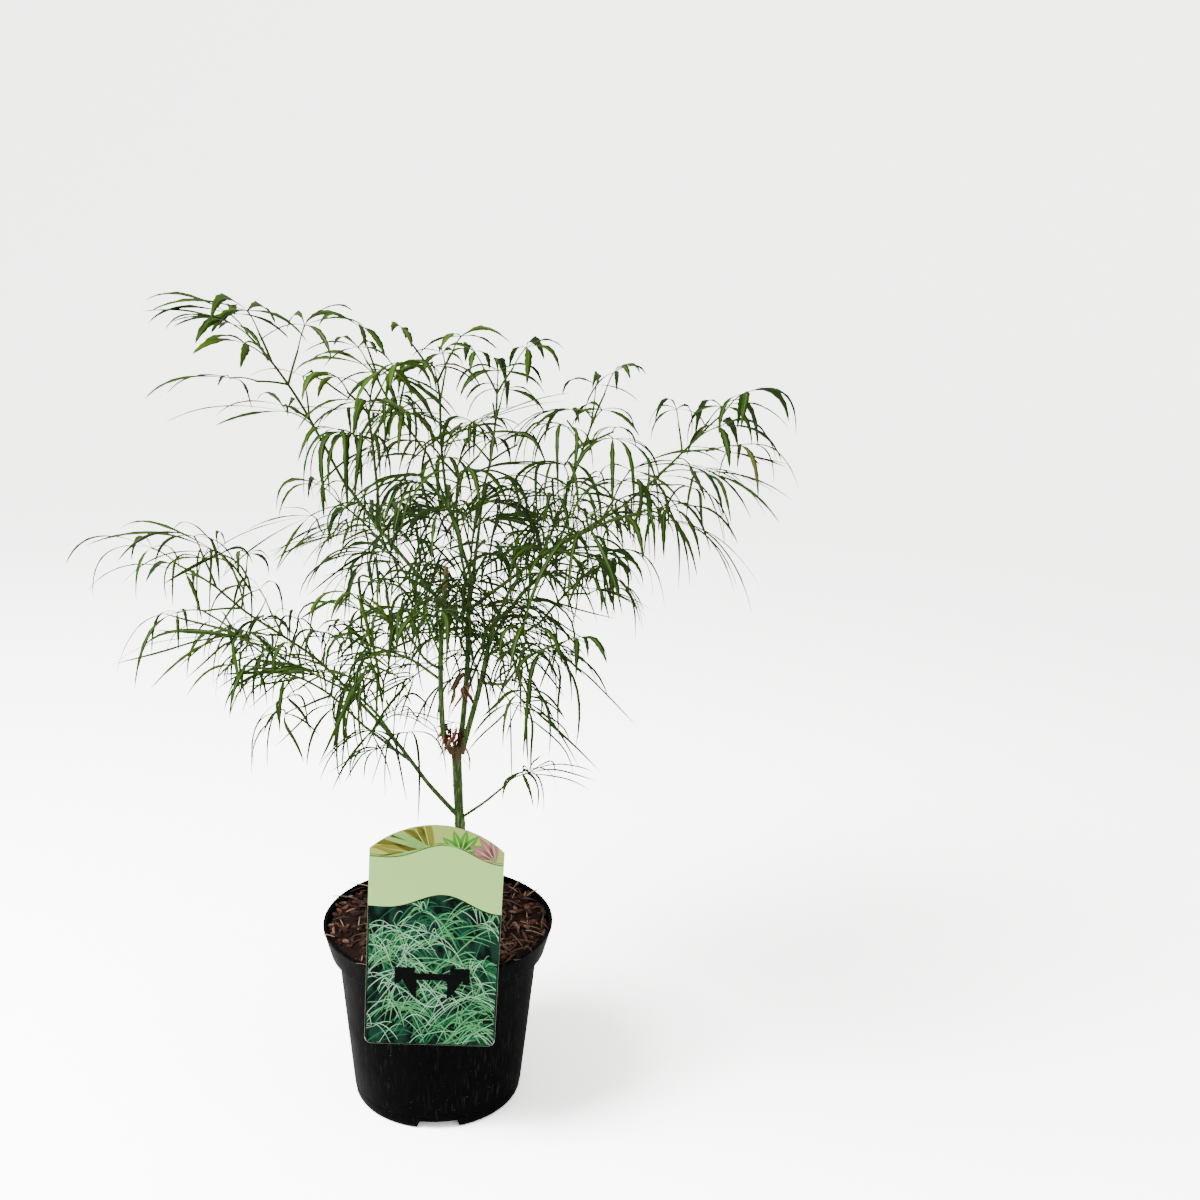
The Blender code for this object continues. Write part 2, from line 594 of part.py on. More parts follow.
def sprout(index, mass, space):
    """The twigs, as pairs of ends, and the leaves of one mass, by a seeded rule.

    Opposite pairs of twigs stand along the stem, each pair turned from the last, and the last
    pair forks from its tip. Each twig ends in a leaf, and so does the stem. Lower down, leaves
    are smaller and their lobes hang more. A twig that isn't free gives way to a leaf, and a leaf
    that isn't free is tried again, smaller and turned a little, then skipped.
    """
    rng = random.Random(SEED * 1000 + index)
    path, _ = mass_stem(mass)
    twigs, leaves = [], []

    def free(points):
        return space.holds(index, points)

    def add_leaf(root, heading, share):
        """The share is how far up the stem it is."""
        for attempt in range(TRIES):
            turn = rng.uniform(-0.12, 0.12) * (1 + attempt)
            x, y, z = heading
            tried = unit(np.array((x * math.cos(turn) - y * math.sin(turn),
                                   x * math.sin(turn) + y * math.cos(turn), z + rng.uniform(-0.15, 0.15))))
            length = mass.leaf * (0.82 + 0.18 * share) * rng.uniform(0.94, 1.06) * (1 - 0.04 * attempt)
            leaf = grow_leaf(root, tried, length, mass.droop * (1.4 - 0.4 * share), rng, free)
            if leaf:
                leaves.append(leaf)
                return

    for pair in range(mass.pairs):
        share = (pair + 1) / mass.pairs
        where = 1 + share * (len(path) - 2)
        low = min(int(where), len(path) - 2)
        way = unit(path[low + 1] - path[low])
        node = path[low] + (path[low + 1] - path[low]) * (where - low) - SUNK * way
        level = unit(np.cross(way, (0.0, 0.35, 1.0)))
        turn = (mass.pairs - pair - 1) * TWIG_TURN + rng.uniform(-0.3, 0.3)
        across = math.cos(turn) * level + math.sin(turn) * np.cross(way, level)
        angle = FORK_ANGLE if share == 1 else TWIG_ANGLE
        for hand in (-1, 1):
            out = unit(math.cos(angle) * way + hand * math.sin(angle) * across + np.array((0, 0, TWIG_LIFT)))
            end = node + out * mass.twig * (0.8 + 0.2 * share) * rng.uniform(0.85, 1.15)
            if free(np.array([node + (end - node) * t for t in (0.6, 1.0)])):
                twigs.append((node, end))
                add_leaf(end - SUNK * out, out, share)
            else:
                add_leaf(node, out, share)
    way = unit(path[-1] - path[-2])
    add_leaf(path[-1] - SUNK * way, unit(way + 0.6 * unit(np.array((way[0], way[1], 0.01)))), 1)
    return twigs, leaves


# ---------------------------------------------------------------- foliage: the solids
def leaf_solid(leaf):
    """(points, faces) of a leaf as one closed mesh.

    The hub is a flat pyramid, and each of its sides opens into a thin keeled lobe or the stalk.
    """
    ahead = np.cross(leaf.lift, leaf.side)
    corners = [math.radians(a) for a in HUB_ANGLES]
    vertices = [leaf.hub + HUB_RADIUS * (math.cos(a) * ahead + math.sin(a) * leaf.side) for a in corners]
    vertices.append(leaf.hub - HUB_DEPTH * leaf.lift)
    keel = len(corners)
    faces = [tuple(range(keel))]

    def add_ring(ring, centre, way, half, deep):
        """Bridges from one ring of three points to a new one, square to the way it runs."""
        first = len(vertices)
        up = np.cross(across, way)
        vertices.extend([centre - half * across, centre + half * across, centre - deep * up])
        new = (first, first + 1, first + 2)
        faces.extend([(ring[i], ring[(i + 1) % 3], new[(i + 1) % 3], new[i]) for i in range(3)])
        return new

    for k, (lobe, share) in enumerate(zip(leaf.lobes, LOBE_LENGTHS)):
        across = unit(np.cross(lobe[0], leaf.lift))
        ring = (k, k + 1, keel)
        for t, wide in LOBE_STATIONS if share > 0.9 else LOBE_STATIONS[1:]:
            centre = lobe_point(leaf, lobe, t)
            if wide:
                way = unit(lobe_point(leaf, lobe, t + 0.05) - lobe_point(leaf, lobe, t - 0.05))
                ring = add_ring(ring, centre, way, wide * LOBE_WIDTH * leaf.length / 2,
                                LOBE_THICKNESS * leaf.length)
            else:
                faces.extend([(ring[i], ring[(i + 1) % 3], len(vertices)) for i in range(3)])
                vertices.append(centre)
    back = unit(leaf.root - leaf.hub)
    across = unit(np.cross(back, leaf.lift))
    faces.append(add_ring((keel - 1, 0, keel), leaf.root, back, STALK_HALF, STALK_DEPTH))
    return vertices, faces


def make_foliage(limbs, finish):
    """One solid for each mass: its stem, with the twigs and leaves joined on by one union."""
    space = Space(limbs)
    for index, mass in enumerate(MASSES):
        body = make_object("foliage_" + mass.bough, *tube(*mass_stem(mass), STEM_SIDES), finish)
        twigs, leaves = sprout(index, mass, space)
        sprigs = bpy.data.collections.new("sprigs")
        bpy.context.scene.collection.children.link(sprigs)
        for shape in [*(tube(twig, TWIG_RADII, TWIG_SIDES) for twig in twigs), *map(leaf_solid, leaves)]:
            sprig = make_object("sprig", *shape)
            bpy.context.scene.collection.objects.unlink(sprig)
            sprigs.objects.link(sprig)
        boolean(body, sprigs, "UNION", "MANIFOLD")
        remove(sprigs.objects)
        bpy.data.collections.remove(sprigs)
        keep_largest(body)


def build():
    remove(bpy.data.objects)
    finishes = make_materials()
    make_pot(finishes["pot"])
    make_substrate(finishes["bark"])
    make_label(finishes["card"], finishes["clip"])
    limbs = make_limbs(finishes["stem"])
    make_foliage(limbs, finishes["leaf"])


build()
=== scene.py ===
"""Potted thread-leaf maple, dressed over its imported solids.

Every piece is built in metres in the solids' own frame: the origin under the middle of the pot,
+Z up, +Y away from the label. The file is laid out as a Blender add-on: settings, an operator for
each group of pieces, and a panel that lists them. Run as a script, it builds the whole plant.
"""

import json
import math
import random
from collections import namedtuple

import bpy
import numpy as np
from mathutils import Matrix, Vector

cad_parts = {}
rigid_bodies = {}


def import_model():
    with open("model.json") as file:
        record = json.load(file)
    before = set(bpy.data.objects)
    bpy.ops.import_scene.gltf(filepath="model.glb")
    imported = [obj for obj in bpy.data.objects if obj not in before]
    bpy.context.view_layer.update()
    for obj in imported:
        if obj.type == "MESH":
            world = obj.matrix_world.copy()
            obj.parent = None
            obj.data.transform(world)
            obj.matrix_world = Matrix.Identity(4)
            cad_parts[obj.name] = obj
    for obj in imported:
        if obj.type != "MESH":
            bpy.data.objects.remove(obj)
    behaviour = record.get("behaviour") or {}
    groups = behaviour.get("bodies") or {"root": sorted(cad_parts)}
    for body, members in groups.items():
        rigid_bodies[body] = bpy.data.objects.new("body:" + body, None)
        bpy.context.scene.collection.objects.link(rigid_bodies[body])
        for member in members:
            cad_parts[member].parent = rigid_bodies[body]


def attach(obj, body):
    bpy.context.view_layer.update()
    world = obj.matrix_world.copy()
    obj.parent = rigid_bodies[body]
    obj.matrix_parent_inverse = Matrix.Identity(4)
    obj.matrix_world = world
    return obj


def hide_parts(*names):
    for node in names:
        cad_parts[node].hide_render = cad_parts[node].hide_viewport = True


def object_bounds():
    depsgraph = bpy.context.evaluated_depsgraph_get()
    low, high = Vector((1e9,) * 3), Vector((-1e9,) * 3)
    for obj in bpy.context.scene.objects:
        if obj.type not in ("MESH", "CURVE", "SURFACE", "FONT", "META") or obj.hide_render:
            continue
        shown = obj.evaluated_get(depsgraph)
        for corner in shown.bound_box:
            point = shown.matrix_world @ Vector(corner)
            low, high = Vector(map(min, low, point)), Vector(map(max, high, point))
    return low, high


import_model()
SOLID_BOX = [list(corner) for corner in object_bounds()]

bl_info = {
    "name": "Potted Thread-Leaf Maple",
    "version": (1, 0, 0),
    "blender": (4, 5, 0),
    "location": "View3D > Sidebar > Maple",
    "description": "Builds a young thread-leaf maple in its nursery pot, piece by piece",
    "category": "Object",
}

# ---------------------------------------------------------------- the plant's plan, as in the solids
CLEARANCE = 0.0003  # gap that touching pieces keep
SUBSTRATE_CROWN = 0.1545  # the flat patch under the trunk
TRUNK_FOOT = SUBSTRATE_CROWN + CLEARANCE
# The trunk's x, height and radius, from its foot to the fork.
TRUNK = [(.0200, TRUNK_FOOT, .0062), (.0198, TRUNK_FOOT + .005, .0048),
         (.0194, TRUNK_FOOT + .016, .0038), (.0172, .239, .0040), (.0163, .252, .0034),
         (.0142, .296, .0037), (.0137, .305, .0050)]

# A limb: its points, and its radius at the foot and at the tip.
Limb = namedtuple("Limb", "name points foot tip")

STEMS = [
    Limb("stem_left", [(.0105, -.001, .302), (.003, -.003, .323), (.001, -.008, .376),
                       (.002, -.010, .408), (.005, -.013, .456)], .0020, .0014),
    Limb("stem_middle", [(.0155, .003, .302), (.019, .006, .326), (.0225, .010, .377),
                         (.023, .012, .414), (.026, .014, .445)], .0020, .0015),
    Limb("stem_right", [(.0180, -.0015, .302), (.0225, -.003, .321), (.033, -.006, .364),
                        (.037, -.007, .387), (.044, -.010, .418)], .0021, .0014),
]
BOUGHS = [
    Limb("bough_low_left", [(.0185, .000, .243), (-.009, -.006, .278), (-.035, -.012, .318),
                            (-.069, -.020, .361)], .0017, .0011),
    Limb("bough_low_left_back", [(-.035, -.012, .318), (-.049, .016, .328), (-.063, .036, .335)],
         .0011, .0009),
    Limb("bough_low_left_front", [(-.022, -.009, .298), (-.040, -.034, .323), (-.055, -.056, .345)],
         .0011, .0009),
    Limb("bough_low_right", [(.0185, .000, .245), (.036, -.010, .262), (.049, -.018, .277)],
         .0010, .0008),
    Limb("bough_left_high", [(.0035, -.012, .429), (-.046, -.024, .494), (-.070, -.030, .529)],
         .0014, .0010),
    Limb("bough_left_upper", [(-.046, -.024, .494), (-.045, -.042, .517), (-.046, -.058, .541)],
         .0010, .0009),
    Limb("bough_left_middle", [(.0008, -.006, .366), (-.018, -.004, .380), (-.032, -.002, .386)],
         .0011, .0009),
    Limb("bough_front", [(.001, -.008, .376), (-.006, -.036, .389), (-.011, -.062, .402)],
         .0011, .0009),
    Limb("bough_front_right", [(.033, -.006, .364), (.041, -.034, .372), (.049, -.060, .381)],
         .0011, .0009),
    Limb("bough_front_top", [(.024, .013, .433), (.017, -.018, .467), (.014, -.042, .492)],
         .0011, .0009),
    Limb("bough_top", [(.026, .014, .443), (.012, .010, .487), (.006, .006, .510)], .0013, .0010),
    Limb("bough_top_left", [(.012, .010, .487), (.001, .012, .516), (-.007, .018, .537)],
         .0010, .0009),
    Limb("bough_top_right", [(.026, .014, .443), (.031, .026, .481), (.034, .034, .508)],
         .0012, .0009),
    Limb("bough_right_far", [(.0235, .012, .419), (.056, .020, .442), (.091, .026, .466),
                             (.137, .034, .493)], .0014, .0010),
    Limb("bough_right_upper", [(.080, .0245, .4595), (.093, .034, .486), (.101, .042, .507)],
         .0010, .0009),
    Limb("bough_right_low", [(.037, -.007, .386), (.057, -.010, .400), (.075, -.012, .413)],
         .0012, .0009),
    Limb("bough_right_middle", [(.044, -.010, .416), (.052, -.026, .442), (.062, -.042, .464)],
         .0011, .0009),
    Limb("bough_back", [(.0228, .010, .386), (.023, .040, .404), (.024, .066, .419)], .0012, .0009),
    Limb("bough_back_low", [(.0205, .008, .342), (.025, .036, .348), (.031, .062, .353)],
         .0011, .0009),
    Limb("bough_back_left", [(.0012, -.009, .396), (-.010, .026, .413), (-.022, .054, .428)],
         .0011, .0009),
    Limb("bough_back_right", [(.0392, -.0075, .396), (.052, .028, .407), (.066, .056, .418)],
         .0011, .0009),
]

# A mass: its stem's points past its bough, its pairs of twigs, the lengths of a twig and of a
# leaf, how much the leaves droop, how broad the young ones are, from 0, threads, to 1, and the
# share of its nodes that bear finer leaves.
Mass = namedtuple("Mass", "bough points pairs twig leaf droop breadth leafy")

MASSES = [
    Mass("left_high", [(-.095, -.038, .579), (-.109, -.044, .604), (-.120, -.046, .620)],
         3, .026, .084, .36, 1.0, .44),
    Mass("left_upper", [(-.048, -.072, .570), (-.050, -.084, .590)], 2, .024, .076, .50, .8, .62),
    Mass("top_left", [(-.025, .028, .562), (-.040, .036, .582), (-.048, .042, .596)],
         2, .028, .076, .44, .9, .46),
    Mass("top", [(.001, .000, .554), (.000, -.008, .588), (-.002, -.014, .604)],
         3, .034, .076, .36, 1.0, .4),
    Mass("top_right", [(.040, .040, .535), (.044, .046, .566), (.045, .050, .588)],
         3, .026, .076, .46, .95, .5),
    Mass("right_upper", [(.116, .052, .546), (.122, .058, .562)], 2, .028, .078, .48, .75, .7),
    Mass("right_far", [(.169, .040, .517), (.196, .045, .543), (.207, .048, .553)],
         3, .030, .090, .58, .8, .55),
    Mass("right_low", [(.098, -.010, .438), (.119, -.012, .460)], 2, .031, .076, .60, .55, .4),
    Mass("right_middle", [(.088, -.064, .490), (.116, -.082, .510)], 2, .032, .086, .56, .6, .7),
    Mass("front_right", [(.058, -.088, .404), (.067, -.108, .420)], 2, .028, .068, .62, .35, .48),
    Mass("front", [(-.020, -.098, .428), (-.024, -.118, .442)], 2, .032, .070, .60, .3, .46),
    Mass("front_top", [(.012, -.072, .525), (.013, -.092, .546)], 2, .030, .076, .54, .5, .6),
    Mass("left_middle", [(-.053, .002, .392), (-.060, .004, .394)], 1, .026, .066, .56, .25, .45),
    Mass("low_left", [(-.097, -.026, .393), (-.142, -.034, .428), (-.166, -.040, .452)],
         4, .030, .091, .54, .34, .3),
    Mass("low_left_back", [(-.101, .062, .347), (-.130, .078, .356)], 2, .034, .078, .62, .15, .22),
    Mass("low_left_front", [(-.080, -.080, .380), (-.098, -.096, .398)],
         2, .030, .068, .62, .15, .22),
    Mass("back", [(.027, .104, .444), (.029, .124, .458)], 2, .036, .080, .58, .5, .5),
    Mass("back_low", [(.038, .094, .359), (.044, .110, .364)], 2, .032, .072, .60, .2, .36),
    Mass("back_left", [(-.045, .096, .449), (-.060, .118, .461)], 2, .036, .080, .58, .5, .6),
    Mass("back_right", [(.096, .098, .437), (.114, .120, .448)], 2, .036, .079, .58, .5, .42),
    Mass("low_right", [(.053, -.022, .286), (.056, -.024, .290)], 0, .010, .062, .66, .05, .4),
]

SEED = 19
TWIG_ANGLE = math.radians(56)  # of a twig from what carries it
TWIG_TURN = math.radians(66)  # from each pair of twigs to the next
FORK_ANGLE = math.radians(34)  # of the last pair
TWIG_LIFT = 0.12
SUNK = 0.0015  # how deep a root sits in what carries it
STALK = 0.26  # a stalk's share of its leaf's length
LOBE_ANGLES = (-104, -52, 0, 52, 104)
LOBE_LENGTHS = (0.66, 0.92, 1.0, 0.92, 0.66)
LOBE_RISE = 0.12
LOBE_DRAW = 0.75  # how far a falling lobe draws in
SHORTENED = (1.0, 0.84, 0.70, 0.58)  # lengths tried until a lobe fits
HANG = 0.022  # a mass's space lies this far under its stem
CELL_MARGIN = 0.0052
LIMB_MARGIN = 0.0040
TRIES = 10
LEVEL_UP = (0.0, 0.35, 1.0)  # a way's level direction is square to this


# ---------------------------------------------------------------- the growing rule
def unit(vector):
    """A vector at length one."""
    return vector / np.linalg.norm(vector)


def units(vectors):
    """Each row's vector at length one."""
    return vectors / np.linalg.norm(vectors, axis=-1, keepdims=True)


def smooth(points, steps):
    """Points along a Catmull-Rom curve through the given ones, with some steps to each span."""
    p = [np.array(q, float) for q in points]
    p = [2 * p[0] - p[1], *p, 2 * p[-1] - p[-2]]
    out = []
    for i in range(1, len(p) - 2):
        for k in range(steps):
            t = k / steps
            out.append(0.5 * (2 * p[i] + (p[i + 1] - p[i - 1]) * t
                              + (2 * p[i - 1] - 5 * p[i] + 4 * p[i + 1] - p[i + 2]) * t * t
                              + (3 * p[i] - p[i - 1] - 3 * p[i + 1] + p[i + 2]) * t ** 3))
    return [*out, p[-2]]


def tapered(foot, tip, count):
    """Radii at even steps from foot to tip."""
    return [foot + (tip - foot) * i / (count - 1) for i in range(count)]


def dense(path, radii, spacing=0.002):
    """Points at an even spacing along a path, each with the radius there."""
    points, sizes = [], []
    for a, b, ra, rb in zip(path[:-1], path[1:], radii[:-1], radii[1:]):
        count = max(1, int(np.linalg.norm(b - a) / spacing))
        for k in range(count):
            points.append(a + (b - a) * k / count)
            sizes.append(ra + (rb - ra) * k / count)
    return np.array([*points, path[-1]]), np.array([*sizes, radii[-1]])


def limb_path(limb):
    """A limb's curve and radii."""
    path = smooth(limb.points, 2)
    return path, tapered(limb.foot, limb.tip, len(path))


def trunk_path():
    """The trunk's points and radii."""
    return [np.array((x, 0, z)) for x, z, _ in TRUNK], [radius for _, _, radius in TRUNK]


def bough_of(mass):
    """The limb that carries a mass."""
    return next(bough for bough in BOUGHS if bough.name == "bough_" + mass.bough)


def mass_stem(mass):
    """The path and radii of a mass's own stem, from just past its bough's tip."""
    bough = bough_of(mass)
    path, _ = limb_path(bough)
    way = unit(path[-1] - path[-2])
    start = path[-1] + way * CLEARANCE
    on = start + way * 0.004
    path = [start, *smooth([on, *mass.points], 2)]
    return path, tapered(bough.tip, 0.0007, len(path))


Leaf = namedtuple("Leaf", "root hub side lift length lobes")


def lobe_point(leaf, lobe, t):
    """A point on a lobe's middle line: out and a little up at first, then falling away."""
    out, reach, fall = lobe
    drop = np.array((0, 0, fall * t - LOBE_RISE))
    return leaf.hub + reach * t * (out * (1 - LOBE_DRAW * fall * t) - drop)


def grow_leaf(root, way, length, droop, rng, free, angles=LOBE_ANGLES, lengths=LOBE_LENGTHS):
    """A leaf with its stalk along a way, or None where it isn't free. A lobe is shortened to fit."""
    hub = root + way * length * STALK
    if not free(np.linspace(root, hub, 4)[1:]):
        return None
    flat = unit(np.array((way[0], way[1], min(way[2], 0.35) - 0.10)))
    side = unit(np.cross(flat, (0.0, 0.0, 1.0)))
    leaf = Leaf(root, hub, side, np.cross(side, flat), length, [])
    for angle, share in zip(angles, lengths):
        for shorter in SHORTENED:
            a = math.radians(angle + rng.uniform(-9, 9))
            out = unit(math.cos(a) * flat + math.sin(a) * side)
            lobe = (out, length * share * shorter * rng.uniform(0.9, 1.1), droop * rng.uniform(0.8, 1.2))
            if free(np.array([lobe_point(leaf, lobe, t) for t in np.linspace(0.1, 1.0, 8)])):
                leaf.lobes.append(lobe)
                break
        else:
            return None
    return leaf


class Space:
    """Says whether points keep to one mass's own space, and clear of every limb."""

    def __init__(self, limbs):
        """Takes the limbs as (path, radii)."""
        hang = np.array((0, 0, HANG))
        self.stems = [dense(*mass_stem(mass), 0.004)[0] - hang for mass in MASSES]
        solid = [dense(path, radii) for path, radii in limbs]
        self.limb_points = np.concatenate([points for points, _ in solid])
        self.limb_radii = np.concatenate([radii for _, radii in solid])

    def holds(self, index, points, cell=CELL_MARGIN, limb=LIMB_MARGIN):
        """Whether every point is nearer its own mass's stem than any other, and off every limb."""
        reach = [np.linalg.norm(points[:, None] - stem, axis=2).min(axis=1) for stem in self.stems]
        others = np.min([r for i, r in enumerate(reach) if i != index], axis=0)
        if (others - reach[index] < cell).any():
            return False
        gaps = np.linalg.norm(points[:, None] - self.limb_points, axis=2) - self.limb_radii
        return gaps.min() > limb


def sprout(index, mass, space):
    """The twigs, as pairs of ends, and the leaves of one mass, by the solids' own seeded rule."""
    rng = random.Random(SEED * 1000 + index)
    path, _ = mass_stem(mass)
    twigs, leaves = [], []

    def free(points):
        return space.holds(index, points)

    def add_leaf(root, heading, share):
        for attempt in range(TRIES):
            turn = rng.uniform(-0.12, 0.12) * (1 + attempt)
            x, y, z = heading
            tried = unit(np.array((x * math.cos(turn) - y * math.sin(turn),
                                   x * math.sin(turn) + y * math.cos(turn),
                                   z + rng.uniform(-0.15, 0.15))))
            length = mass.leaf * (0.82 + 0.18 * share) * rng.uniform(0.94, 1.06) * (1 - 0.04 * attempt)
            leaf = grow_leaf(root, tried, length, mass.droop * (1.4 - 0.4 * share), rng, free)
            if leaf:
                leaves.append((leaf, share))
                return

    for pair in range(mass.pairs):
        share = (pair + 1) / mass.pairs
        where = 1 + share * (len(path) - 2)
        low = min(int(where), len(path) - 2)
        way = unit(path[low + 1] - path[low])
        node = path[low] + (path[low + 1] - path[low]) * (where - low) - SUNK * way
        level = unit(np.cross(way, LEVEL_UP))
        turn = (mass.pairs - pair - 1) * TWIG_TURN + rng.uniform(-0.3, 0.3)
        across = math.cos(turn) * level + math.sin(turn) * np.cross(way, level)
        angle = FORK_ANGLE if share == 1 else TWIG_ANGLE
        for hand in (-1, 1):
            out = unit(math.cos(angle) * way + hand * math.sin(angle) * across
                       + np.array((0, 0, TWIG_LIFT)))
            end = node + out * mass.twig * (0.8 + 0.2 * share) * rng.uniform(0.85, 1.15)
            if free(np.array([node + (end - node) * t for t in (0.6, 1.0)])):
                twigs.append((node, end))
                add_leaf(end - SUNK * out, out, share)
            else:
                add_leaf(node, out, share)
    way = unit(path[-1] - path[-2])
    add_leaf(path[-1] - SUNK * way, unit(way + 0.6 * unit(np.array((way[0], way[1], 0.01)))), 1)
    return twigs, leaves


def vigour(mass):
    """How light and held out a mass's leaves are, from 0 to 1, from how little they droop."""
    return min(max((0.62 - mass.droop) / 0.26, 0.0), 1.0)


# The same rule, carried on: pairs of finer leaves at close nodes along boughs, stems and twigs.
FINE_SPACING = 0.0150  # from node to node
FINE_STEP = 0.001  # between the points that nodes are picked from
FINE_TURN = math.radians(84)  # from each pair to the next
FINE_ANGLE = math.radians(58)  # of a stalk from what carries it
FINE_CELL = -0.040  # finer leaves reach this far into a neighbour's space
FINE_LIMB = 0.0009  # and stay this far off every limb
FINE_TRIES = 4
FINE_ANGLES = (-84, -50, -24, 0, 24, 50, 84)
FINE_LENGTHS = (0.62, 0.86, 0.97, 1.0, 0.97, 0.86, 0.62)
FINE_OPEN = 0.12  # the share of lobes left out
BOX_MARGIN = 0.002
LOWEST = 0.262  # no finer leaf hangs below this height
INNER_FOOT = 0.378  # where the stems begin to bear leaves
INNER_LEAF = 0.062


def nodes_along(path):
    """Close points along a path, with its direction at each."""
    points, _ = dense(path, [0.0] * len(path), FINE_STEP)
    return points, units(np.gradient(points, axis=0))


def scatter(rng, most):
    """A vector whose parts are drawn between -most and most."""
    return np.array([rng.uniform(-most, most) for _ in range(3)])


def fine_leaves(index, mass, space, twigs, thin):
    """Leaves in opposite pairs at the nodes of a bough, its mass's stem and its twigs, each with how
    young it is. Towards a tip they are young, large and held out, and further down they hang.
    """
    rng = random.Random(SEED * 5000 + index)
    low, high = np.array(SOLID_BOX[0]) + BOX_MARGIN, np.array(SOLID_BOX[1]) - BOX_MARGIN
    low[2] = LOWEST
    leaves = []

    def free(points):
        inside = (points > low).all() and (points < high).all()
        return inside and space.holds(index, points, FINE_CELL, FINE_LIMB)

    runs = [(limb_path(bough_of(mass))[0], 0.25, 0.0, 0.45), (mass_stem(mass)[0], 0.06, 0.45, 1.0)]
    runs += [([np.array(a), np.array(b)], 0.30, 0.75, 1.0) for a, b in twigs]
    for path, begin, young_from, young_to in runs:
        points, ways = nodes_along(path)
        count = max(1, round(len(points) * FINE_STEP * (1 - begin) / FINE_SPACING))
        for k in range(count):
            share = begin + (1 - begin) * (k + rng.uniform(0.3, 0.7)) / count
            at = min(int(share * len(points)), len(points) - 1)
            young = young_from + (young_to - young_from) * share
            way = ways[at]
            level = unit(np.cross(way, LEVEL_UP))
            turn = k * FINE_TURN + rng.uniform(-0.5, 0.5)
            across = math.cos(turn) * level + math.sin(turn) * np.cross(way, level)
            for hand in (-1, 1):
                if rng.random() > thin * mass.leafy * (1 - 0.95 * mass.breadth * young ** 1.4):
                    continue
                for _ in range(FINE_TRIES):
                    out = unit(math.cos(FINE_ANGLE) * way + hand * math.sin(FINE_ANGLE) * across
                               + scatter(rng, 0.4))
                    length = mass.leaf * (1.03 + 0.25 * young) * rng.uniform(0.72, 1.18)
                    droop = 0.70 - 0.24 * young + rng.uniform(-0.34, 0.26)
                    leaf = grow_leaf(points[at], out, length, droop, rng, free, FINE_ANGLES,
                                     FINE_LENGTHS)
                    if leaf:
                        kept = opened(leaf, FINE_OPEN, rng)
                        leaves.append((kept, min(young + 0.4 * (rng.random() < 0.18), 1.0)))
                        break
    return leaves


def opened(leaf, share, rng):
    """A leaf without a share of its lobes, so that light shows through."""
    kept = [lobe for lobe in leaf.lobes if rng.random() > share]
    return leaf._replace(lobes=kept or leaf.lobes[2:3])


def inner_leaves(space, thin):
    """Thread-like leaves in pairs at the nodes of the three stems, above the lowest boughs."""
    rng = random.Random(SEED * 9000)
    leaves = []

    def free(points):
        gaps = np.linalg.norm(points[:, None] - space.limb_points, axis=2) - space.limb_radii
        return gaps.min() > FINE_LIMB

    for limb in STEMS:
        points, ways = nodes_along(limb_path(limb)[0])
        for k, at in enumerate(range(0, len(points), round(0.9 * FINE_SPACING / FINE_STEP))):
            if points[at][2] < INNER_FOOT:
                continue
            across = np.array((math.cos(k * FINE_TURN), math.sin(k * FINE_TURN), 0.2))
            for hand in (-1, 0, 1):
                for _ in range(FINE_TRIES * (rng.random() < thin)):
                    out = unit(0.5 * ways[at] + hand * across + scatter(rng, 0.6))
                    length, droop = INNER_LEAF * rng.uniform(0.7, 1.15), rng.uniform(0.25, 0.85)
                    leaf = grow_leaf(points[at] + 0.0012 * out, out, length, droop, rng, free,
                                     FINE_ANGLES, FINE_LENGTHS)
                    if leaf:
                        leaves.append((opened(leaf, FINE_OPEN, rng), rng.uniform(0.0, 0.45)))
                        break
    return leaves


# ---------------------------------------------------------------- surfaces
def put_mesh(name, points, faces, finishes, tints=None, soft=True):
    """A mesh object from arrays: points, a list of (n, corners) face arrays, and each face's finish."""
    sizes = np.concatenate([np.full(len(f), f.shape[1]) for f in faces])
    loops = np.concatenate([f.ravel() for f in faces]).astype(np.int32)
    starts = np.concatenate([[0], np.cumsum(sizes)[:-1]]).astype(np.int32)
    mesh = bpy.data.meshes.new(name)
    mesh.vertices.add(len(points))
    mesh.vertices.foreach_set("co", np.asarray(points, np.float32).ravel())
    mesh.loops.add(len(loops))
    mesh.loops.foreach_set("vertex_index", loops)
    mesh.polygons.add(len(sizes))
    mesh.polygons.foreach_set("loop_start", starts)
    for material in finishes:
        mesh.materials.append(material)
    if tints is not None:
        mesh.polygons.foreach_set("material_index", np.asarray(tints, np.int32))
    mesh.polygons.foreach_set("use_smooth", np.full(len(sizes), soft))
    mesh.update(calc_edges=True)
    made = bpy.data.objects.new(name, mesh)
    bpy.context.scene.collection.objects.link(made)
    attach(made, "root")
    return made


def sleeves(count, rings, sides):
    """The quads and end caps of so many closed sleeves, whose points run sleeve, ring, side."""
    tube = np.arange(count)[:, None, None] * rings * sides
    ring = np.arange(rings - 1)[None, :, None] * sides
    k = np.arange(sides)[None, None, :]
    a = tube + ring + k
    b = tube + ring + (k + 1) % sides
    quads = np.stack([a, b, b + sides, a + sides], axis=-1).reshape(-1, 4)
    first = (np.arange(count)[:, None] * rings * sides) + np.arange(sides)[None, ::-1]
    last = ((np.arange(count)[:, None] + 1) * rings * sides - sides) + np.arange(sides)[None]
    return quads, first, last


def outwards(points, faces):
    """The same faces, turned over if they enclose a negative volume."""
    total = 0.0
    for f in faces:
        corner = points[f]
        for k in range(1, f.shape[1] - 1):
            total += np.einsum("ij,ij->", corner[:, 0], np.cross(corner[:, k], corner[:, k + 1]))
    return faces if total > 0 else [f[:, ::-1] for f in faces]


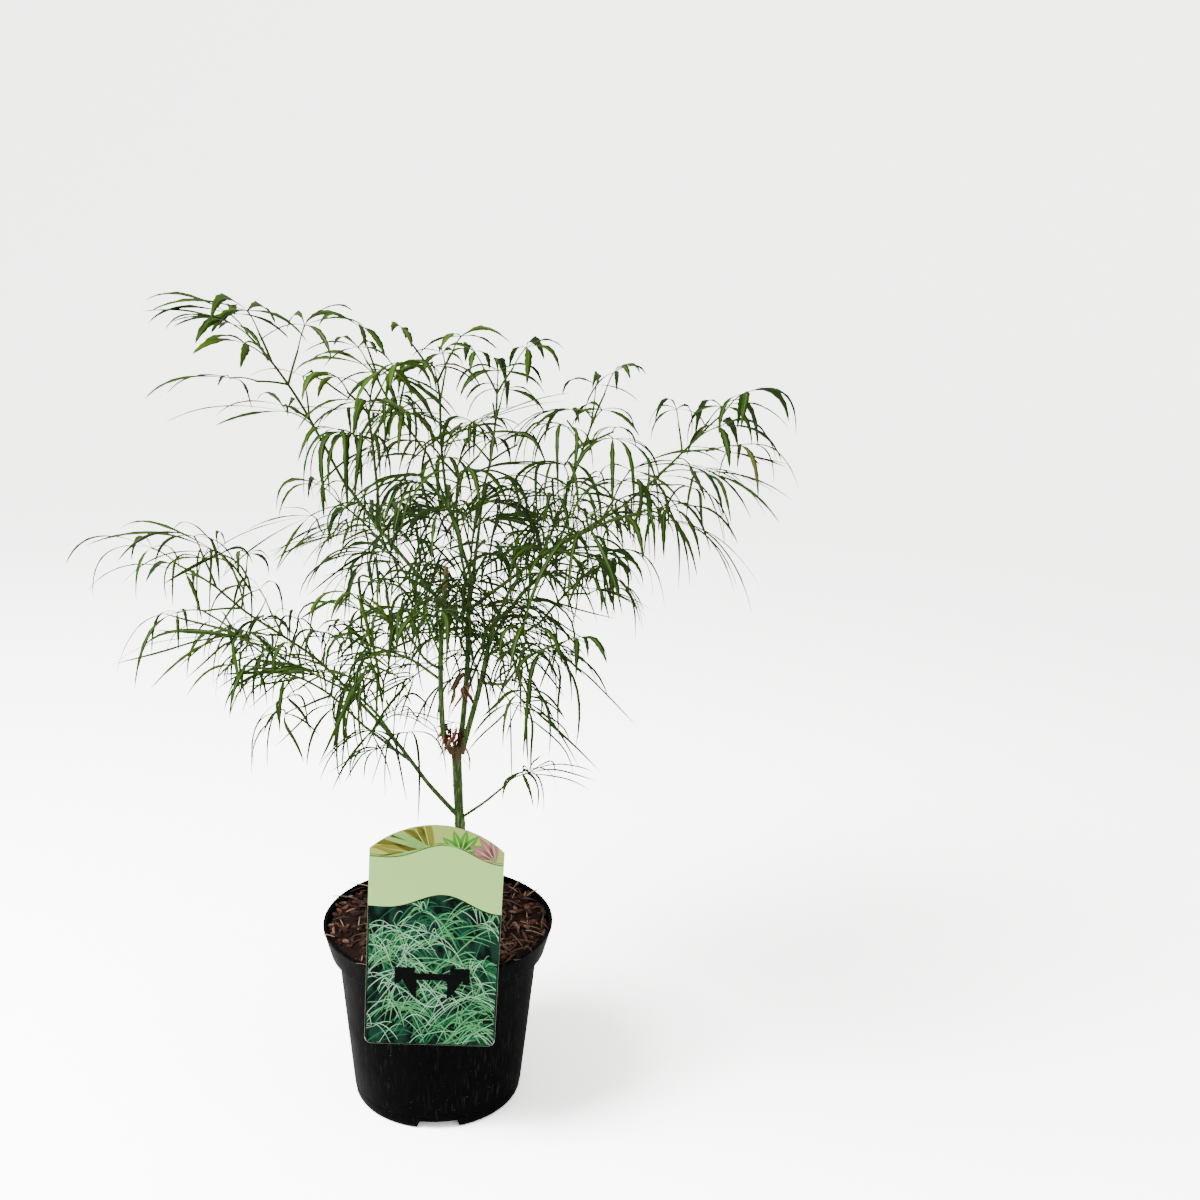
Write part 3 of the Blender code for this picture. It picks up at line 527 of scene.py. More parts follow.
def frames(paths):
    """For curves of shape (n, k, 3): their directions, and two directions square to each."""
    ways = units(np.gradient(paths, axis=1))
    overall = np.abs(paths[:, -1] - paths[:, 0])
    spare = np.eye(3)[np.argmin(overall, axis=1)][:, None]
    across = units(np.cross(ways, spare))
    return ways, across, np.cross(ways, across)


def tubes(paths, radii, sides):
    """Points and faces of round tubes: each ring is its path's point plus radius times the circle."""
    _, across, other = frames(paths)
    a = np.linspace(0, 2 * np.pi, sides, endpoint=False)
    circle = across[:, :, None] * np.cos(a)[:, None] + other[:, :, None] * np.sin(a)[:, None]
    points = paths[:, :, None] + np.asarray(radii)[..., None, None] * circle
    points = points.reshape(-1, 3)
    return points, outwards(points, list(sleeves(len(paths), paths.shape[1], sides)))


def gathered(parts):
    """Several (points, faces, tints) sets as one, with faces and tints by their count of corners.

    The tints of a set are one number, or one array of numbers for each of its face arrays.
    """
    points, faces, tints, shift = [], {}, {}, 0
    for made, sets, numbers in parts:
        numbers = numbers if isinstance(numbers, list) else [numbers] * len(sets)
        for f, number in zip(sets, numbers):
            faces.setdefault(f.shape[1], []).append(f + shift)
            tints.setdefault(f.shape[1], []).append(np.broadcast_to(number, len(f)))
        points.append(made)
        shift += len(made)
    return (np.concatenate(points), [np.concatenate(f) for f in faces.values()],
            np.concatenate([tint for kind in tints.values() for tint in kind]))


# ---------------------------------------------------------------- finishes
def shader_group(name, inputs, outputs):
    """An empty node group with float or vector sockets, and its two end nodes."""
    group = bpy.data.node_groups.new(name, "ShaderNodeTree")
    for label, kind, value in inputs:
        socket = group.interface.new_socket(name=label, in_out="INPUT", socket_type=kind)
        if value is not None:
            socket.default_value = value
    for label, kind in outputs:
        group.interface.new_socket(name=label, in_out="OUTPUT", socket_type=kind)
    return group, group.nodes.new("NodeGroupInput"), group.nodes.new("NodeGroupOutput")


def mottle_group():
    """Noise as a height, and as a mask that runs from 0 to 1 between two of its levels."""
    group, inlet, outlet = shader_group(
        "mottle",
        [("Vector", "NodeSocketVector", None), ("Scale", "NodeSocketFloat", 100.0),
         ("Detail", "NodeSocketFloat", 4.0), ("Low", "NodeSocketFloat", 0.35),
         ("High", "NodeSocketFloat", 0.65)],
        [("Mask", "NodeSocketFloat"), ("Height", "NodeSocketFloat")])
    noise = group.nodes.new("ShaderNodeTexNoise")
    spread = group.nodes.new("ShaderNodeMapRange")
    link = group.links.new
    link(inlet.outputs["Vector"], noise.inputs["Vector"])
    link(inlet.outputs["Scale"], noise.inputs["Scale"])
    link(inlet.outputs["Detail"], noise.inputs["Detail"])
    link(noise.outputs["Fac"], spread.inputs["Value"])
    link(inlet.outputs["Low"], spread.inputs["From Min"])
    link(inlet.outputs["High"], spread.inputs["From Max"])
    link(spread.outputs["Result"], outlet.inputs["Mask"])
    link(noise.outputs["Fac"], outlet.inputs["Height"])


def finish(name, colour, roughness, **constants):
    """A Principled material whose even values are set on its own sockets."""
    made = bpy.data.materials.new(name)
    made.use_nodes = True
    shader = made.node_tree.nodes["Principled BSDF"]
    shader.inputs["Base Color"].default_value = (*colour, 1.0)
    shader.inputs["Roughness"].default_value = roughness
    for label, value in constants.items():
        shader.inputs[label.replace("_", " ")].default_value = value
    made.diffuse_color = (*colour, 1.0)
    return made


def place_vector(tree, stretch):
    """Object coordinates, scaled along each axis."""
    where = tree.nodes.new("ShaderNodeTexCoord")
    mapping = tree.nodes.new("ShaderNodeMapping")
    mapping.inputs["Scale"].default_value = stretch
    tree.links.new(where.outputs["Object"], mapping.inputs["Vector"])
    return mapping.outputs["Vector"]


def mottle(tree, vector, scale, low, high, detail=4.0):
    """The mottle group, placed in a material with its own values."""
    node = tree.nodes.new("ShaderNodeGroup")
    node.node_tree = bpy.data.node_groups["mottle"]
    tree.links.new(vector, node.inputs["Vector"])
    for label, value in (("Scale", scale), ("Low", low), ("High", high), ("Detail", detail)):
        node.inputs[label].default_value = value
    return node.outputs["Mask"], node.outputs["Height"]


def mixed(tree, mask, first, second):
    """A colour mix by a mask. Each side is a colour or the output of another mix."""
    node = tree.nodes.new("ShaderNodeMix")
    node.data_type = "RGBA"
    tree.links.new(mask, node.inputs["Factor"])
    for side, value in (("A", first), ("B", second)):
        socket = next(s for s in node.inputs if s.name == side and s.type == "RGBA")
        if isinstance(value, bpy.types.NodeSocket):
            tree.links.new(value, socket)
        else:
            socket.default_value = (*value, 1.0)
    return next(s for s in node.outputs if s.type == "RGBA")


def product(tree, first, second):
    """Two values multiplied."""
    node = tree.nodes.new("ShaderNodeMath")
    node.operation = "MULTIPLY"
    tree.links.new(first, node.inputs[0])
    tree.links.new(second, node.inputs[1])
    return node.outputs["Value"]


def ranged(tree, value, low, high, to_low=0.0, to_high=1.0):
    """A value carried from one range to another, kept within it."""
    node = tree.nodes.new("ShaderNodeMapRange")
    tree.links.new(value, node.inputs["Value"])
    for label, number in (("From Min", low), ("From Max", high), ("To Min", to_low),
                          ("To Max", to_high)):
        node.inputs[label].default_value = number
    return node.outputs["Result"]


def bumped(material, height, strength, distance):
    """Joins a height to the material's normal through a Bump node."""
    tree = material.node_tree
    bump = tree.nodes.new("ShaderNodeBump")
    bump.inputs["Strength"].default_value = strength
    bump.inputs["Distance"].default_value = distance
    tree.links.new(height, bump.inputs["Height"])
    tree.links.new(bump.outputs["Normal"], tree.nodes["Principled BSDF"].inputs["Normal"])


def into(material, output, label):
    """Joins an output to one of the material's own sockets."""
    tree = material.node_tree
    tree.links.new(output, tree.nodes["Principled BSDF"].inputs[label])


# ---------------------------------------------------------------- leaves
WIDE_STATIONS = 13
THREAD_STATIONS = 9
RING = 5
RIB_SHARE = 0.10  # the rib's share of the width
FOLD = 0.20  # how far the edges rise, as a share of the half width
BROAD = 0.0030  # a lobe wider than this is toothed
TOOTH = 0.11
EDGE_MARGIN = 0.00005
KEEL = 0.00012

Blades = namedtuple("Blades", "hub out lift reach fall half teeth sway curl roll twist")


def eased(t):
    """A smooth step from 0 to 1."""
    t = np.clip(t, 0, 1)
    return t * t * (3 - 2 * t)


def blade_points(blades, stations):
    """Narrow lobes as closed blades.

    Along t from 0 to 1 the middle line is the rule's arch, swayed sideways by t squared, and its
    point curls by the square of what t is past a half. Across it stands a ring of five points: two
    edges raised in a shallow V, two beside the rib, and a keel below. The ring turns about the
    line by roll + twist * t. The half width eases up from a slim foot, to t = 0.5 on a toothed
    lobe and 0.4 on a thread, and closes by (1 - t^2.6)^0.8 on the one and (1 - t^5)^0.8 on the
    other. Every second station stands out as a tooth that leans forward.
    """
    t = np.linspace(0, 1, stations)
    hub, out, lift = blades[:3]
    reach, fall, half, teeth, sway, curl, roll, twist = (column[:, None] for column in blades[3:])
    side = units(np.cross(out, lift))
    late = np.clip(t - 0.5, 0, 1) ** 2
    ahead = reach * (t * (1 - LOBE_DRAW * fall * t) + curl * late)
    aside = sway * reach * (t ** 2 - 0.10 * np.sin(2 * np.pi * t))
    middle = hub[:, None] + ahead[..., None] * out[:, None] + aside[..., None] * side[:, None]
    middle[..., 2] -= reach * (t * (fall * t - LOBE_RISE) - 0.5 * curl * late)
    ways = units(np.gradient(middle, axis=1))
    across = units(side[:, None] - ways * np.einsum("nc,nkc->nk", side, ways)[..., None])
    up = np.cross(across, ways)
    turn = (roll + twist * t)[..., None]
    across, up = np.cos(turn) * across + np.sin(turn) * up, np.cos(turn) * up - np.sin(turn) * across
    tooth = np.where(np.arange(stations) % 2, 1.0, -1.0)
    toothed = (0.14 + 0.86 * eased(t / 0.5)) * (1 - t ** 2.6) ** 0.8
    thread = (0.34 + 0.66 * eased(t / 0.4)) * (1 - t ** 5) ** 0.8
    wide = half * np.where(teeth > 0, toothed, thread) * (1 + teeth * tooth)
    wide = np.maximum(wide, EDGE_MARGIN)[..., None]
    lean = ways * (reach * teeth * 0.4 / stations * (tooth > 0))[..., None]
    depth = np.where(teeth > 0, 0.14, 0.75)[..., None]
    ripple = 0.07 * np.sin(5.5 * np.pi * t + 40 * sway)[..., None]
    ring = [middle - across * wide + up * wide * (FOLD + ripple) + lean,
            middle - across * wide * RIB_SHARE,
            middle + across * wide * RIB_SHARE,
            middle + across * wide + up * wide * (FOLD - ripple) + lean,
            middle - up * (depth * wide + KEEL)]
    return np.stack(ring, axis=2).reshape(-1, 3)


def leaf_mesh(name, leaves, finishes):
    """All the lobes of one mass as one piece. leaves: (leaf, width of a lobe, tint number)."""
    rng = np.random.default_rng(SEED + len(leaves))
    rows = [(leaf.hub, lobe[0], leaf.lift, lobe[1], lobe[2],
             wide * (0.62 + 0.38 * lobe[1] / leaf.length), tint)
            for leaf, wide, tint in leaves for lobe in leaf.lobes]
    hub, out, lift, reach, fall, wide, tint = (np.array(column) for column in zip(*rows))
    broad = wide > BROAD
    sway = rng.uniform(-1, 1, len(rows)) * np.where(broad, 0.12, 0.24)
    curl = rng.uniform(-0.5, 0.9, len(rows)) * np.where(broad, 0.3, 1.0)
    twist = rng.uniform(-1, 1, len(rows)) * np.where(broad, 0.45, 1.3)
    roll = rng.uniform(-1, 1, len(rows)) * np.where(broad, 0.45, 1.3)
    blades = Blades(hub, out, lift, reach, fall, wide / 2, np.where(broad, TOOTH, 0.0), sway, curl,
                    roll, twist)
    parts = []
    for chosen, stations in ((broad, WIDE_STATIONS), (~broad, THREAD_STATIONS)):
        count = int(chosen.sum())
        if not count:
            continue
        made = blade_points(Blades(*(column[chosen] for column in blades)), stations)
        shade = np.repeat(tint[chosen], (stations - 1) * RING).reshape(count, stations - 1, RING)
        if stations == WIDE_STATIONS:
            shade[:, :, 1] = len(finishes) - 1  # the rib
        parts.append((made, outwards(made, list(sleeves(count, stations, RING))),
                      [shade.ravel(), tint[chosen], tint[chosen]]))
    points, faces, tints = gathered(parts)
    return put_mesh(name, points, faces, finishes, tints)


def bowed(starts, ends, rise, count):
    """Curves from starts to ends that bow upwards by a share of their length."""
    t = np.linspace(0, 1, count)
    path = starts[:, None] + (ends - starts)[:, None] * t[:, None]
    path[..., 2] += np.linalg.norm(ends - starts, axis=1)[:, None] * rise * np.sin(np.pi * t)
    return path


def lengths_along(points):
    """The length along a path up to each of its points."""
    return np.concatenate([[0], np.cumsum(np.linalg.norm(np.diff(np.array(points), axis=0), axis=1))])


def resampled(points, count):
    """Points at even steps along a curve."""
    points = np.array(points)
    along = lengths_along(points)
    even = np.linspace(0, along[-1], count)
    return np.stack([np.interp(even, along, points[:, axis]) for axis in range(3)], axis=1), even


STEM_RINGS = 48
STEM_TIP = 0.00090
STEM_NODES = 0.0135  # from one swollen node of a mass's stem to the next
TWIG_RADII = np.linspace(0.0010, 0.0008, 7)
STALK_RADII = np.array([0.80, 0.60, 0.55, 0.55, 0.58, 0.75]) / 1000  # flared at both ends


def twig_mesh(name, mass, twigs, leaves, finishes):
    """A mass's own stem, its twigs and its leaf stalks as one piece of round tubes."""
    parts = []
    if mass:
        path, _ = mass_stem(mass)
        back = unit(path[0] - path[1]) * 0.002
        stem, even = resampled(smooth([path[0] + back, *path[1:]], 4), STEM_RINGS)
        swell = 0.22 * np.exp(-(((even % STEM_NODES) - 0.006) / 0.0009) ** 2)
        radii = np.linspace(bough_of(mass).tip * 1.15, STEM_TIP, STEM_RINGS) * (1 + swell)
        parts.append((*tubes(stem[None], radii[None], 8), 0))
    if twigs:
        starts, ends = (np.array(places) for places in zip(*twigs))
        parts.append((*tubes(bowed(starts, ends, 0.03, len(TWIG_RADII)),
                             np.tile(TWIG_RADII, (len(twigs), 1)), 6), 0))
    roots = np.array([leaf.root for leaf, _, _ in leaves])
    hubs = np.array([leaf.hub for leaf, _, _ in leaves])
    parts.append((*tubes(bowed(roots, hubs, 0.07, len(STALK_RADII)),
                         np.tile(STALK_RADII, (len(leaves), 1)), 5), 1))
    points, faces, tints = gathered(parts)
    return put_mesh(name, points, faces, finishes, tints)


# ---------------------------------------------------------------- how the leaves are dealt out
LEAF_TINTS = ("thread_dark", "thread", "deep", "grown", "bright", "fresh", "lime", "olive")
OLIVE = LEAF_TINTS.index("olive")


def dealt(leaves, widths, breadth, light, rng):
    """Gives each (leaf, young) its lobe width and tint: young leaves are broad and light."""
    given = []
    for leaf, young in leaves:
        fresh = young * (0.22 + 0.78 * light)
        grown = (young * (0.1 + 0.9 * breadth)) ** 1.3
        wide = widths[0] + (widths[1] - widths[0]) * grown * rng.uniform(0.75, 1.15)
        tint = round(1.8 + 4.0 * fresh + rng.gauss(0, 1.3))
        tint = OLIVE if rng.random() < 0.02 * (1 - fresh) else min(max(tint, 0), OLIVE - 1)
        given.append((leaf, wide, tint))
    return given


# ---------------------------------------------------------------- bark
# How far the bark stands out, as a multiple of the solid's radius.
TRUNK_BARK = 1.06
STEM_BARK = (1.25, 1.2)  # at a stem's foot and at its tip
BOUGH_BARK = 1.18
# Rings along a limb and points around it.
TRUNK_GRID = (150, 36)
STEM_GRID = (120, 20)
BOUGH_GRID = (64, 12)
STUB_GRID = (40, 16)
STUB_RADII = (0.00150, 0.00185, 0.00170)
NODE_SWELL = 0.10
NODE_LENGTH = 0.0012
RIDGES = (3, 7, 11, 16)  # waves around a limb
DOME_RINGS = 6
# The heights where the trunk and stems begin to be woody, are so in full, start to fade and end.
WOODY = (0.290, 0.298, 0.308, 0.315)


def bark_surface(path, radii, grid, relief, nodes, seed):
    """A limb's bark as (points, faces, 0), on a grid of rings and sides. Each ring's radius is its
    own, times one plus relief times a sum of four sines of the angle that drift along the limb,
    plus a swelling at each node. The last rings close in a dome: radius times the cosine, advance
    times the sine, of a quarter turn.
    """
    rng = np.random.default_rng(seed)
    rings, sides = grid
    points, even = resampled(path, rings)
    radius = np.interp(even, lengths_along(path), radii)
    swell = np.zeros(rings)
    if nodes:
        swell += NODE_SWELL * np.exp(-(((even % nodes) - nodes / 2) / NODE_LENGTH) ** 2)
    quarter = np.linspace(0, np.pi / 2 * 0.94, DOME_RINGS + 1)[1:]
    way = unit(points[-1] - points[-2])
    points = np.concatenate([points, points[-1] + way * radius[-1] * 0.55 * np.sin(quarter)[:, None]])
    swell = np.concatenate([swell, np.zeros(DOME_RINGS)])
    even = np.concatenate([even, np.full(DOME_RINGS, even[-1])])
    radius = np.concatenate([radius, radius[-1] * np.cos(quarter)])
    _, across, other = frames(points[None])
    a = np.linspace(0, 2 * np.pi, sides, endpoint=False)
    waves = sum(rng.uniform(0.6, 1.0)
                * np.sin(n * a + rng.uniform(0, 6) + even[:, None] * rng.uniform(-90, 90))
                for n in RIDGES) / len(RIDGES)
    ring = radius[:, None] * (1 + relief * waves + swell[:, None])
    made = points[:, None] + ring[..., None] * (across[0, :, None] * np.cos(a)[:, None]
                                                + other[0, :, None] * np.sin(a)[:, None])
    made = made.reshape(-1, 3)
    return made, outwards(made, list(sleeves(1, len(points), sides))), 0


def bark_finish(name, settings, woody):
    """Young bark: green with pale streaks along it, and brown where woody gives a band of heights,
    as where it begins, is full, starts to fade and ends.
    """
    made = finish(name, settings.green, 0.52, Specular_IOR_Level=0.25)
    tree = made.node_tree
    streaks, height = mottle(tree, place_vector(tree, (1.0, 1.0, 0.10)), 900.0, 0.50, 0.66)
    blotches, _ = mottle(tree, place_vector(tree, (1.0, 1.0, 0.45)), 260.0, 0.42, 0.62)
    colour = mixed(tree, streaks, settings.green, settings.streak)
    if woody:
        where = tree.nodes.new("ShaderNodeTexCoord")
        parts = tree.nodes.new("ShaderNodeSeparateXYZ")
        tree.links.new(where.outputs["Object"], parts.inputs["Vector"])
        band = product(tree, ranged(tree, parts.outputs["Z"], woody[0], woody[1]),
                       ranged(tree, parts.outputs["Z"], woody[2], woody[3], 1.0, 0.0))
        patchy = product(tree, band, ranged(tree, blotches, 0.0, 1.0, 0.45, 1.0))
        colour = mixed(tree, patchy, colour, settings.wood)
    into(made, colour, "Base Color")
    into(made, ranged(tree, blotches, 0.0, 1.0, 0.42, 0.68), "Roughness")
    bumped(made, height, 0.35, 0.0004)
    return made


# ---------------------------------------------------------------- withered blades and stub
WITHERED = 39
WITHERED_LOW = (0.310, 0.330)  # heights of the blades in the fork
WITHERED_HIGH = (0.346, 0.370)  # and of those on the middle stem


def withered_blades(settings):
    """Two in three hang in the fork, the rest on the middle stem. Every sixth one is a short bud."""
    rng = np.random.default_rng(SEED + 11)
    count = WITHERED
    stems = [resampled(smooth(limb_path(limb)[0], 3), 200)[0] for limb in STEMS[:2]]
    number = np.arange(count)
    lower, bud = number % 3 < 2, number % 6 == 0
    level = np.where(lower, rng.uniform(*WITHERED_LOW, count), rng.uniform(*WITHERED_HIGH, count))
    share = np.where(lower, rng.uniform(0.2, 1.0, count), rng.uniform(0.75, 1.1, count))[:, None]
    left, middle = (stem[np.searchsorted(stem[:, 2], level)] for stem in stems)
    hub = left + (middle - left) * share + np.array((0.0, -0.003, 0.0))
    a = rng.uniform(0.8 * np.pi, 2.2 * np.pi, count)
    out = units(np.stack([0.6 * np.cos(a), np.sin(a), rng.uniform(-0.4, 1.0, count)], axis=1))
    blades = Blades(hub, out, np.tile((0.0, 0.0, 1.0), (count, 1)),
                    np.where(bud, 0.010, rng.uniform(0.014, 0.026, count)),
                    rng.uniform(0.5, 1.5, count),
                    np.where(bud, 0.0017, rng.uniform(0.0011, 0.0019, count)),
                    np.where(bud, 0.001, 0.12), rng.uniform(-0.6, 0.6, count),
                    rng.uniform(-2.2, 2.2, count), rng.uniform(-3.0, 3.0, count),
                    rng.uniform(-3.0, 3.0, count))
    points = blade_points(blades, WIDE_STATIONS)
    faces = outwards(points, list(sleeves(count, WIDE_STATIONS, RING)))
    dull = [c * 0.45 for c in settings.withered]
    finishes = [finish("withered", settings.withered, 0.7, Specular_IOR_Level=0.2),
                finish("withered_dark", dull, 0.75, Specular_IOR_Level=0.2),
                finish("bud", settings.bud, 0.5, Specular_IOR_Level=0.3)]
    kind = np.where(bud, 2, number % 2)
    tints = np.concatenate([np.repeat(kind, (WIDE_STATIONS - 1) * RING), kind, kind])
    return put_mesh("withered_blades", points, faces, finishes, tints)


def cut_stub(settings):
    """A dry sleeve over the tip of the left stem."""
    fine, _ = resampled(smooth(limb_path(STEMS[0])[0], 3), 90)
    foot = fine[-16]
    tip = fine[-1] + unit(fine[-1] - fine[-2]) * 0.004
    points, faces, _ = bark_surface([foot, (foot + tip) / 2, tip], STUB_RADII, STUB_GRID,
                                    settings.relief * 2, 0, SEED + 12)
    made = finish("dry_stub", settings.stub, 0.75, Specular_IOR_Level=0.2)
    tree = made.node_tree
    grain, height = mottle(tree, place_vector(tree, (1.0, 1.0, 0.08)), 1500.0, 0.40, 0.62)
    into(made, mixed(tree, grain, [c * 0.4 for c in settings.stub], settings.stub), "Base Color")
    bumped(made, height, 0.4, 0.0004)
    return put_mesh("cut_stub", points, faces, [made])


# ---------------------------------------------------------------- pot
POT_HEIGHT = 0.155
RIM_RADIUS = 0.095
COLLAR_FOOT_RADIUS = 0.0893
COLLAR_HEIGHT = 0.0245
BODY_TOP_RADIUS = 0.083
BASE_RADIUS = 0.0702
WALL = 0.0016
RIM_WALL = 0.0028
FLOOR = 0.0022
NOTCH_COUNT = 4
NOTCH_ANGLE = math.radians(29)
NOTCH_HEIGHT = 0.0072
NOTCH_DEPTH = 0.017
LEDGE_TOP = NOTCH_HEIGHT + 0.002
GROOVE = 0.00025  # depth of the line around the pot's foot
GROOVE_HEIGHT = 0.0110
POT_MIDDLE = 0.004  # radius at which the underside and the floor close
POT_SIDES = 168
NOTCH_SIDE = 0.0012  # angle that a notch's side takes, to either hand
TIGHT = 0.0004  # a corner's rounding is held by points this far off


def rounded(corners, steps=5):
    """A profile whose corners (radius, height, rounding) turn in short parabolas."""
    out = [np.array(corners[0][:2])]
    for before, here, after in zip(corners[:-2], corners[1:-1], corners[2:]):
        p, q, r = (np.array(c[:2]) for c in (before, here, after))
        back = q + (p - q) * min(here[2] / np.linalg.norm(p - q), 0.45)
        on = q + (r - q) * min(here[2] / np.linalg.norm(r - q), 0.45)
        out.append(back + (p - back) * min(TIGHT / np.linalg.norm(p - back), 0.4))
        t = np.linspace(0, 1, steps)[:, None]
        out += list((1 - t) ** 2 * back + 2 * t * (1 - t) * q + t ** 2 * on)
        out.append(on + (r - on) * min(TIGHT / np.linalg.norm(r - on), 0.4))
    return np.array([*out, np.array(corners[-1][:2])])


def pot_profile():
    """The pot's outline as (radius, height), from the middle of its underside round to the floor."""
    step = POT_HEIGHT - COLLAR_HEIGHT
    foot = BASE_RADIUS - NOTCH_DEPTH
    slope = (BODY_TOP_RADIUS - BASE_RADIUS) / step

    def wall(z, inset=0.0, rounding=0.0002):
        return BASE_RADIUS + slope * z - inset, z, rounding

    underside = [(POT_MIDDLE, 0.0, 0), (foot - 0.0002, 0.0, 0.0001), (foot + 0.0002, 0.0, 0.0001),
                 (BASE_RADIUS - 0.0010, 0.0, 0.0024)]
    body = [wall(0.0040, 0, 0.0008), wall(NOTCH_HEIGHT - 0.0002, 0, 0.0001),
            wall(NOTCH_HEIGHT + 0.0004, 0, 0.0001), wall(GROOVE_HEIGHT - 0.0005),
            wall(GROOVE_HEIGHT, GROOVE), wall(GROOVE_HEIGHT + 0.0005), wall(0.060, 0, 0.001)]
    collar = [(BODY_TOP_RADIUS, step - 0.0002, 0.0009),
              (COLLAR_FOOT_RADIUS - 0.0003, step + 0.0007, 0.0009),
              (COLLAR_FOOT_RADIUS + 0.0004, step + 0.0034, 0.0008),
              (RIM_RADIUS - 0.0004, POT_HEIGHT - 0.0034, 0.0008),
              (RIM_RADIUS, POT_HEIGHT - 0.0026, 0.0005), (RIM_RADIUS, POT_HEIGHT, 0.0009)]
    inside = [(RIM_RADIUS - RIM_WALL, POT_HEIGHT - 0.0002, 0.0009),
              (COLLAR_FOOT_RADIUS - WALL, step + 0.0032, 0.001),
              (BODY_TOP_RADIUS - WALL, step + 0.0012, 0.001), (BASE_RADIUS - WALL, LEDGE_TOP, 0.001),
              (BASE_RADIUS - WALL, 0.006, 0.001), (BASE_RADIUS - WALL - 0.003, FLOOR, 0.001),
              (POT_MIDDLE, FLOOR, 0)]
    return rounded([*underside, *body, *collar, *inside])


def pot_surface():
    """The profile turned about Z. In the angle of a notch, whatever lies below the notch's height
    and outside its foot is lifted to that height, and the floor inside it to the ledge.
    """
    profile = pot_profile()
    pitch = 2 * np.pi / NOTCH_COUNT
    edges = [-np.pi / 2 + k * pitch + hand * NOTCH_ANGLE / 2 + shift for k in range(NOTCH_COUNT)
             for hand in (-1, 1) for shift in (-NOTCH_SIDE, NOTCH_SIDE)]
    even = np.linspace(-np.pi, np.pi, POT_SIDES, endpoint=False) + 0.004
    angles = np.sort(np.concatenate([even, np.mod(np.array(edges) + np.pi, 2 * np.pi) - np.pi]))
    from_notch = np.mod(angles + np.pi / 2 + pitch / 2, pitch) - pitch / 2
    in_notch = np.abs(from_notch)[None] < NOTCH_ANGLE / 2
    r, z = profile[:, :1], profile[:, 1:]
    shell = (np.arange(len(profile)) < np.argmax(profile[:, 1]))[:, None]
    foot = BASE_RADIUS - NOTCH_DEPTH
    lifted = in_notch & shell & (r > foot) & (z < NOTCH_HEIGHT + 0.0002)
    height = np.where(lifted, NOTCH_HEIGHT + 0.02 * z, z + 0 * angles)
    ledge = in_notch & ~shell & (r > foot - FLOOR) & (z < LEDGE_TOP)
    height = np.where(ledge, LEDGE_TOP - 0.02 * (LEDGE_TOP - z), height)
    points = np.stack([r * np.cos(angles), r * np.sin(angles), height], axis=-1).reshape(-1, 3)
    return points, outwards(points, list(sleeves(1, len(profile), len(angles))))


def pot_finish(settings):
    """Black plastic with fine upright scratches, duller patches and specks of dust."""
    made = finish("pot_plastic", settings.plastic, 0.42, Specular_IOR_Level=0.03)
    tree = made.node_tree
    scratches, height = mottle(tree, place_vector(tree, (1.0, 1.0, 0.035)), 620.0, 0.57, 0.74, 3.0)
    cloud, _ = mottle(tree, place_vector(tree, (1.0, 1.0, 0.6)), 26.0, 0.40, 0.68)
    specks, _ = mottle(tree, place_vector(tree, (1.0, 1.0, 1.0)), 640.0, 0.775, 0.80, 1.0)
    worn = product(tree, scratches, ranged(tree, cloud, 0.0, 1.0, 0.10, 0.55))
    colour = mixed(tree, worn, settings.plastic, settings.scuff)
    into(made, mixed(tree, specks, colour, settings.dust), "Base Color")
    into(made, ranged(tree, cloud, 0.0, 1.0, 0.36, 0.54), "Roughness")
    bumped(made, height, 0.25, 0.0003)
    return made


# ---------------------------------------------------------------- substrate
SUBSTRATE_LEVEL = 0.1505  # at the pot's wall
SUBSTRATE_RISE = 0.003  # and how much higher it is in the middle
FOOT_RISE = 0.0012
FOOT_SPREAD = 0.014
FOOT_CLEAR = 0.0085  # no chip's middle and no straw's foot lies this near the trunk's middle
CHIP_SIDES = 6
CHIPS_REACH = 0.0895
STRAWS_REACH = 0.0900
STRAWS_EDGE = 0.0985  # no straw ends farther out than this
STRAW_SIDES = 4


def bed_height(x, y):
    """The bark's level: it rises a little from the rim towards the trunk."""
    share = np.clip(np.hypot(x, y) / RIM_RADIUS, 0, 1)
    near = np.exp(-((x - TRUNK[0][0]) ** 2 + y ** 2) / FOOT_SPREAD ** 2)
    return SUBSTRATE_LEVEL + SUBSTRATE_RISE * (1 - share) + FOOT_RISE * near


def turns_about(axis, angle):
    """Rotation matrices about one axis, one for each angle."""
    made = np.zeros((len(angle), 3, 3))
    first, second = (axis + 1) % 3, (axis + 2) % 3
    made[:, axis, axis] = 1
    made[:, first, first] = made[:, second, second] = np.cos(angle)
    made[:, second, first] = np.sin(angle)
    made[:, first, second] = -np.sin(angle)
    return made


def chip_points(centre, size, rng):
    """Bark chips: two irregular six-sided rings, the upper one smaller, each chip turned about Z and
    then leaning its own way.
    """
    count = len(centre)
    even = np.linspace(0, 2 * np.pi, CHIP_SIDES, endpoint=False)
    a = even + rng.uniform(-0.35, 0.35, (count, CHIP_SIDES))
    reach = rng.uniform(0.62, 1.0, (count, CHIP_SIDES))
    rings = []
    for level, share in ((-0.5, 1.0), (0.5, 0.80)):
        wobble = reach * share * rng.uniform(0.92, 1.08, (count, CHIP_SIDES))
        z = level + rng.uniform(-0.16, 0.16, (count, CHIP_SIDES))
        ring = np.stack([np.cos(a) * wobble, np.sin(a) * wobble, z], axis=-1)
        rings.append(ring * size[:, None])
    turn = turns_about(2, rng.uniform(0, 6.28, count))
    lean = turns_about(0, rng.normal(0, 0.42, count))
    turn = turn @ lean @ turns_about(1, rng.normal(0, 0.42, count))
    local = np.einsum("nij,nrkj->nrki", turn, np.stack(rings, axis=1))
    return (local + centre[:, None, None]).reshape(-1, 3)


